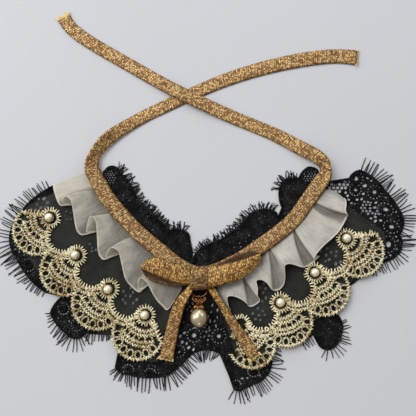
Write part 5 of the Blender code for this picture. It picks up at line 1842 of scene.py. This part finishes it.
def make_charm():
    """The charm, wires that run together like a lily, below a round eye."""
    model = Model()

    def wire(points, side=1):
        path = smooth_run([hung(side * x, y, z) for x, y, z in points])
        model.rod(path, CHARM_WIRE, 7)

    for points in CHARM_WIRES:
        wire(points)
        wire(points, -1)
    wire(MIDDLE_WIRE)
    eye = [
        Vector((PENDANT_X + 0.15, RING_FRONT + EYE_RADIUS * math.cos(turn),
                PENDANT_Z + EYE_RADIUS * math.sin(turn)))
        for turn in (2 * math.pi * i / 20 for i in range(21))
    ]
    model.rod(eye, CHARM_WIRE, 7)
    for x, y in CHARM_BEADS:
        model.turned(hung(x, y, 0.35), UP, CHARM_BEAD, 10)
    model.piece("pendant_charm_wire", gold_metal, "gold_metal", ["pendant_charm"], "pendant")


def make_cap():
    """The cap, a crown of petals on the pearl."""
    model = Model()
    back = CHARM_TOP - 3.8
    model.turned(Vector((PENDANT_X, back, PENDANT_Z)), Vector((0.0, -1.0, 0.0)), CAP, 24)
    for turn in circle_turns(PETALS):
        out = Vector((math.cos(turn), 0.0, math.sin(turn)))
        path = [
            Vector((PENDANT_X, back - forward, PENDANT_Z)) + out * reach
            for forward, reach, _ in PETAL
        ]
        model.rod(path, [thick for _, _, thick in PETAL], 6)
    model.piece("pendant_cap_crown", gold_metal, "gold_metal", ["pendant_cap"], "pendant")


def make_drop_pearl():
    """The large pearl, a little longer than wide."""
    model = Model()
    profile = bead_profile(PEARL_RADIUS, PEARL_STRETCH, 0.5, 36)
    centre = Vector((PENDANT_X, PEARL_Y, PENDANT_Z))
    model.turned(centre, Vector((0.0, 1.0, 0.0)), profile, 56)
    model.piece("pendant_pearl_bead", drop_nacre, "pearl", ["pendant_pearl"], "pendant")


# ---------------------------------------------------------------- stage

FLOOR_HALF = 4.0
# Square lights that aim at the scarf's middle; places and sizes in metres, power in watts.
Light = namedtuple("Light", "name place size power colour")
LIGHTS = rows_of(Light, (
    ("key", (-1.05, 0.92, 1.72), 1.65, 43.0, (1.0, 0.985, 0.96)),
    ("window_left", (-1.60, 0.15, 0.75), 1.1, 8.0, (0.90, 0.95, 1.0)),
    ("window_top", (0.10, 1.65, 0.75), 1.1, 8.5, (0.92, 0.95, 1.0)),
    ("window_right", (1.20, 0.95, 0.95), 0.7, 4.5, (0.95, 0.97, 1.0)),
    ("fill", (0.05, -0.95, 0.42), 0.3, 0.8, (1.0, 0.72, 0.35)),
))
SKY_COLOUR = (0.88, 0.90, 0.95, 1.0)
SKY_STRENGTH = 0.22
# The camera, above the scarf and tilted a little.
CAMERA_PLACE = Vector((6.1, 3.2, 378.9))
CAMERA_TILT = 6.5
CAMERA_LENS = 50.0
CAMERA_SENSOR = 36.0


def linked(name, data):
    """A new object in the scene."""
    obj = bpy.data.objects.new(name, data)
    bpy.context.scene.collection.objects.link(obj)
    return obj


def make_floor():
    """The surface that the scarf lies on."""
    mesh = bpy.data.meshes.new("floor")
    half = FLOOR_HALF
    corners = [(-half, -half, 0.0), (half, -half, 0.0), (half, half, 0.0), (-half, half, 0.0)]
    mesh.from_pydata(corners, [], [(0, 1, 2, 3)])
    mesh.materials.append(finish_of(floor_cloth))
    floor = linked("floor", mesh)


def make_light(row):
    """A soft square light."""
    data = bpy.data.lights.new(row.name, "AREA")
    data.shape = "SQUARE"
    data.size = row.size
    data.energy = row.power
    data.color = row.colour
    light = linked(row.name, data)
    light.location = row.place
    light.rotation_euler = (-Vector(row.place)).to_track_quat("-Z", "Y").to_euler()


def make_sky():
    """The even light of the room."""
    world = bpy.data.worlds.new("studio")
    world.use_nodes = True
    background = world.node_tree.nodes["Background"]
    background.inputs["Color"].default_value = SKY_COLOUR
    background.inputs["Strength"].default_value = SKY_STRENGTH
    bpy.context.scene.world = world


def make_camera():
    """The camera that looks down on the scarf."""
    data = bpy.data.cameras.new("camera")
    data.lens = CAMERA_LENS
    data.sensor_width = CAMERA_SENSOR
    data.clip_start = 0.01
    camera = linked("camera", data)
    camera.location = ORIGIN + CAMERA_PLACE * MM
    camera.rotation_euler = (math.radians(CAMERA_TILT), 0.0, 0.0)
    bpy.context.scene.camera = camera


# ---------------------------------------------------------------- operators


class StageOperator(bpy.types.Operator):
    """Make the floor, the soft studio light and the camera"""

    bl_idname = "scarf.stage"
    bl_label = "Stage"

    def execute(self, context):
        make_floor()
        for row in LIGHTS:
            make_light(row)
        make_sky()
        make_camera()
        context.scene.view_settings.view_transform = "Standard"
        return {"FINISHED"}


class LaceFlounceOperator(bpy.types.Operator):
    """Make the black lace flounce with its eyelash threads"""

    bl_idname = "scarf.lace_flounce"
    bl_label = "Lace flounce"

    def execute(self, context):
        make_lace_flounce()
        return {"FINISHED"}


class NeckFrillsOperator(bpy.types.Operator):
    """Make the two lace frills on the neck side of the ribbon"""

    bl_idname = "scarf.neck_frills"
    bl_label = "Neck frills"

    def execute(self, context):
        make_neck_frills()
        return {"FINISHED"}


class OrganzaOperator(bpy.types.Operator):
    """Make the two dark organza panels"""

    bl_idname = "scarf.organza"
    bl_label = "Organza panels"

    def execute(self, context):
        make_organza_panels()
        return {"FINISHED"}


class GoldTrimsOperator(bpy.types.Operator):
    """Stitch the two gold lace trims"""

    bl_idname = "scarf.gold_trims"
    bl_label = "Gold trims"

    def execute(self, context):
        make_gold_trims()
        return {"FINISHED"}


class TrimPearlsOperator(bpy.types.Operator):
    """Make the small pearls in the flowers of the trims"""

    bl_idname = "scarf.trim_pearls"
    bl_label = "Trim pearls"

    def execute(self, context):
        make_trim_pearls()
        return {"FINISHED"}


class RufflesOperator(bpy.types.Operator):
    """Pleat the two chiffon ruffles"""

    bl_idname = "scarf.ruffles"
    bl_label = "Chiffon ruffles"

    def execute(self, context):
        make_ruffle("left", PLEATS_LEFT, chiffon_left)
        make_ruffle("right", PLEATS_RIGHT, chiffon_right)
        return {"FINISHED"}


class NeckRibbonOperator(bpy.types.Operator):
    """Lay the ribbon over the neck seam, with its two ends as the crossed ties"""

    bl_idname = "scarf.neck_ribbon"
    bl_label = "Neck ribbon"

    def execute(self, context):
        make_neck_ribbon()
        return {"FINISHED"}


class BowOperator(bpy.types.Operator):
    """Make the bow's loops, knot and tails"""

    bl_idname = "scarf.bow"
    bl_label = "Bow"

    def execute(self, context):
        make_loops()
        make_knot()
        make_tails()
        return {"FINISHED"}


class PendantOperator(bpy.types.Operator):
    """Make the ring, the charm, the cap and the large pearl"""

    bl_idname = "scarf.pendant"
    bl_label = "Pendant"

    def execute(self, context):
        make_ring()
        make_charm()
        make_cap()
        make_drop_pearl()
        return {"FINISHED"}


OPERATORS = (
    StageOperator, LaceFlounceOperator, NeckFrillsOperator, OrganzaOperator, GoldTrimsOperator,
    TrimPearlsOperator, RufflesOperator, NeckRibbonOperator, BowOperator, PendantOperator,
)


class ScarfPanel(bpy.types.Panel):
    """Sizes, colours and pieces of the scarf"""

    bl_idname = "VIEW3D_PT_scarf"
    bl_label = "Pet scarf"
    bl_space_type = "VIEW_3D"
    bl_region_type = "UI"
    bl_category = "Scarf"

    def draw(self, context):
        for group in (context.scene.scarf_sizes, context.scene.scarf_colours):
            box = self.layout.box()
            for name in group.__annotations__:
                box.prop(group, name)
        for operator in OPERATORS:
            self.layout.operator(operator.bl_idname)


CLASSES = (ScarfSizes, ScarfColours, *OPERATORS, ScarfPanel)


def register():
    for cls in CLASSES:
        bpy.utils.register_class(cls)
    bpy.types.Scene.scarf_sizes = bpy.props.PointerProperty(type=ScarfSizes)
    bpy.types.Scene.scarf_colours = bpy.props.PointerProperty(type=ScarfColours)


def unregister():
    del bpy.types.Scene.scarf_colours
    del bpy.types.Scene.scarf_sizes
    for cls in reversed(CLASSES):
        bpy.utils.unregister_class(cls)


def main():
    register()
    for operator in OPERATORS:
        group, name = operator.bl_idname.split(".")
        getattr(getattr(bpy.ops, group), name)()


if __name__ == "__main__":
    main()
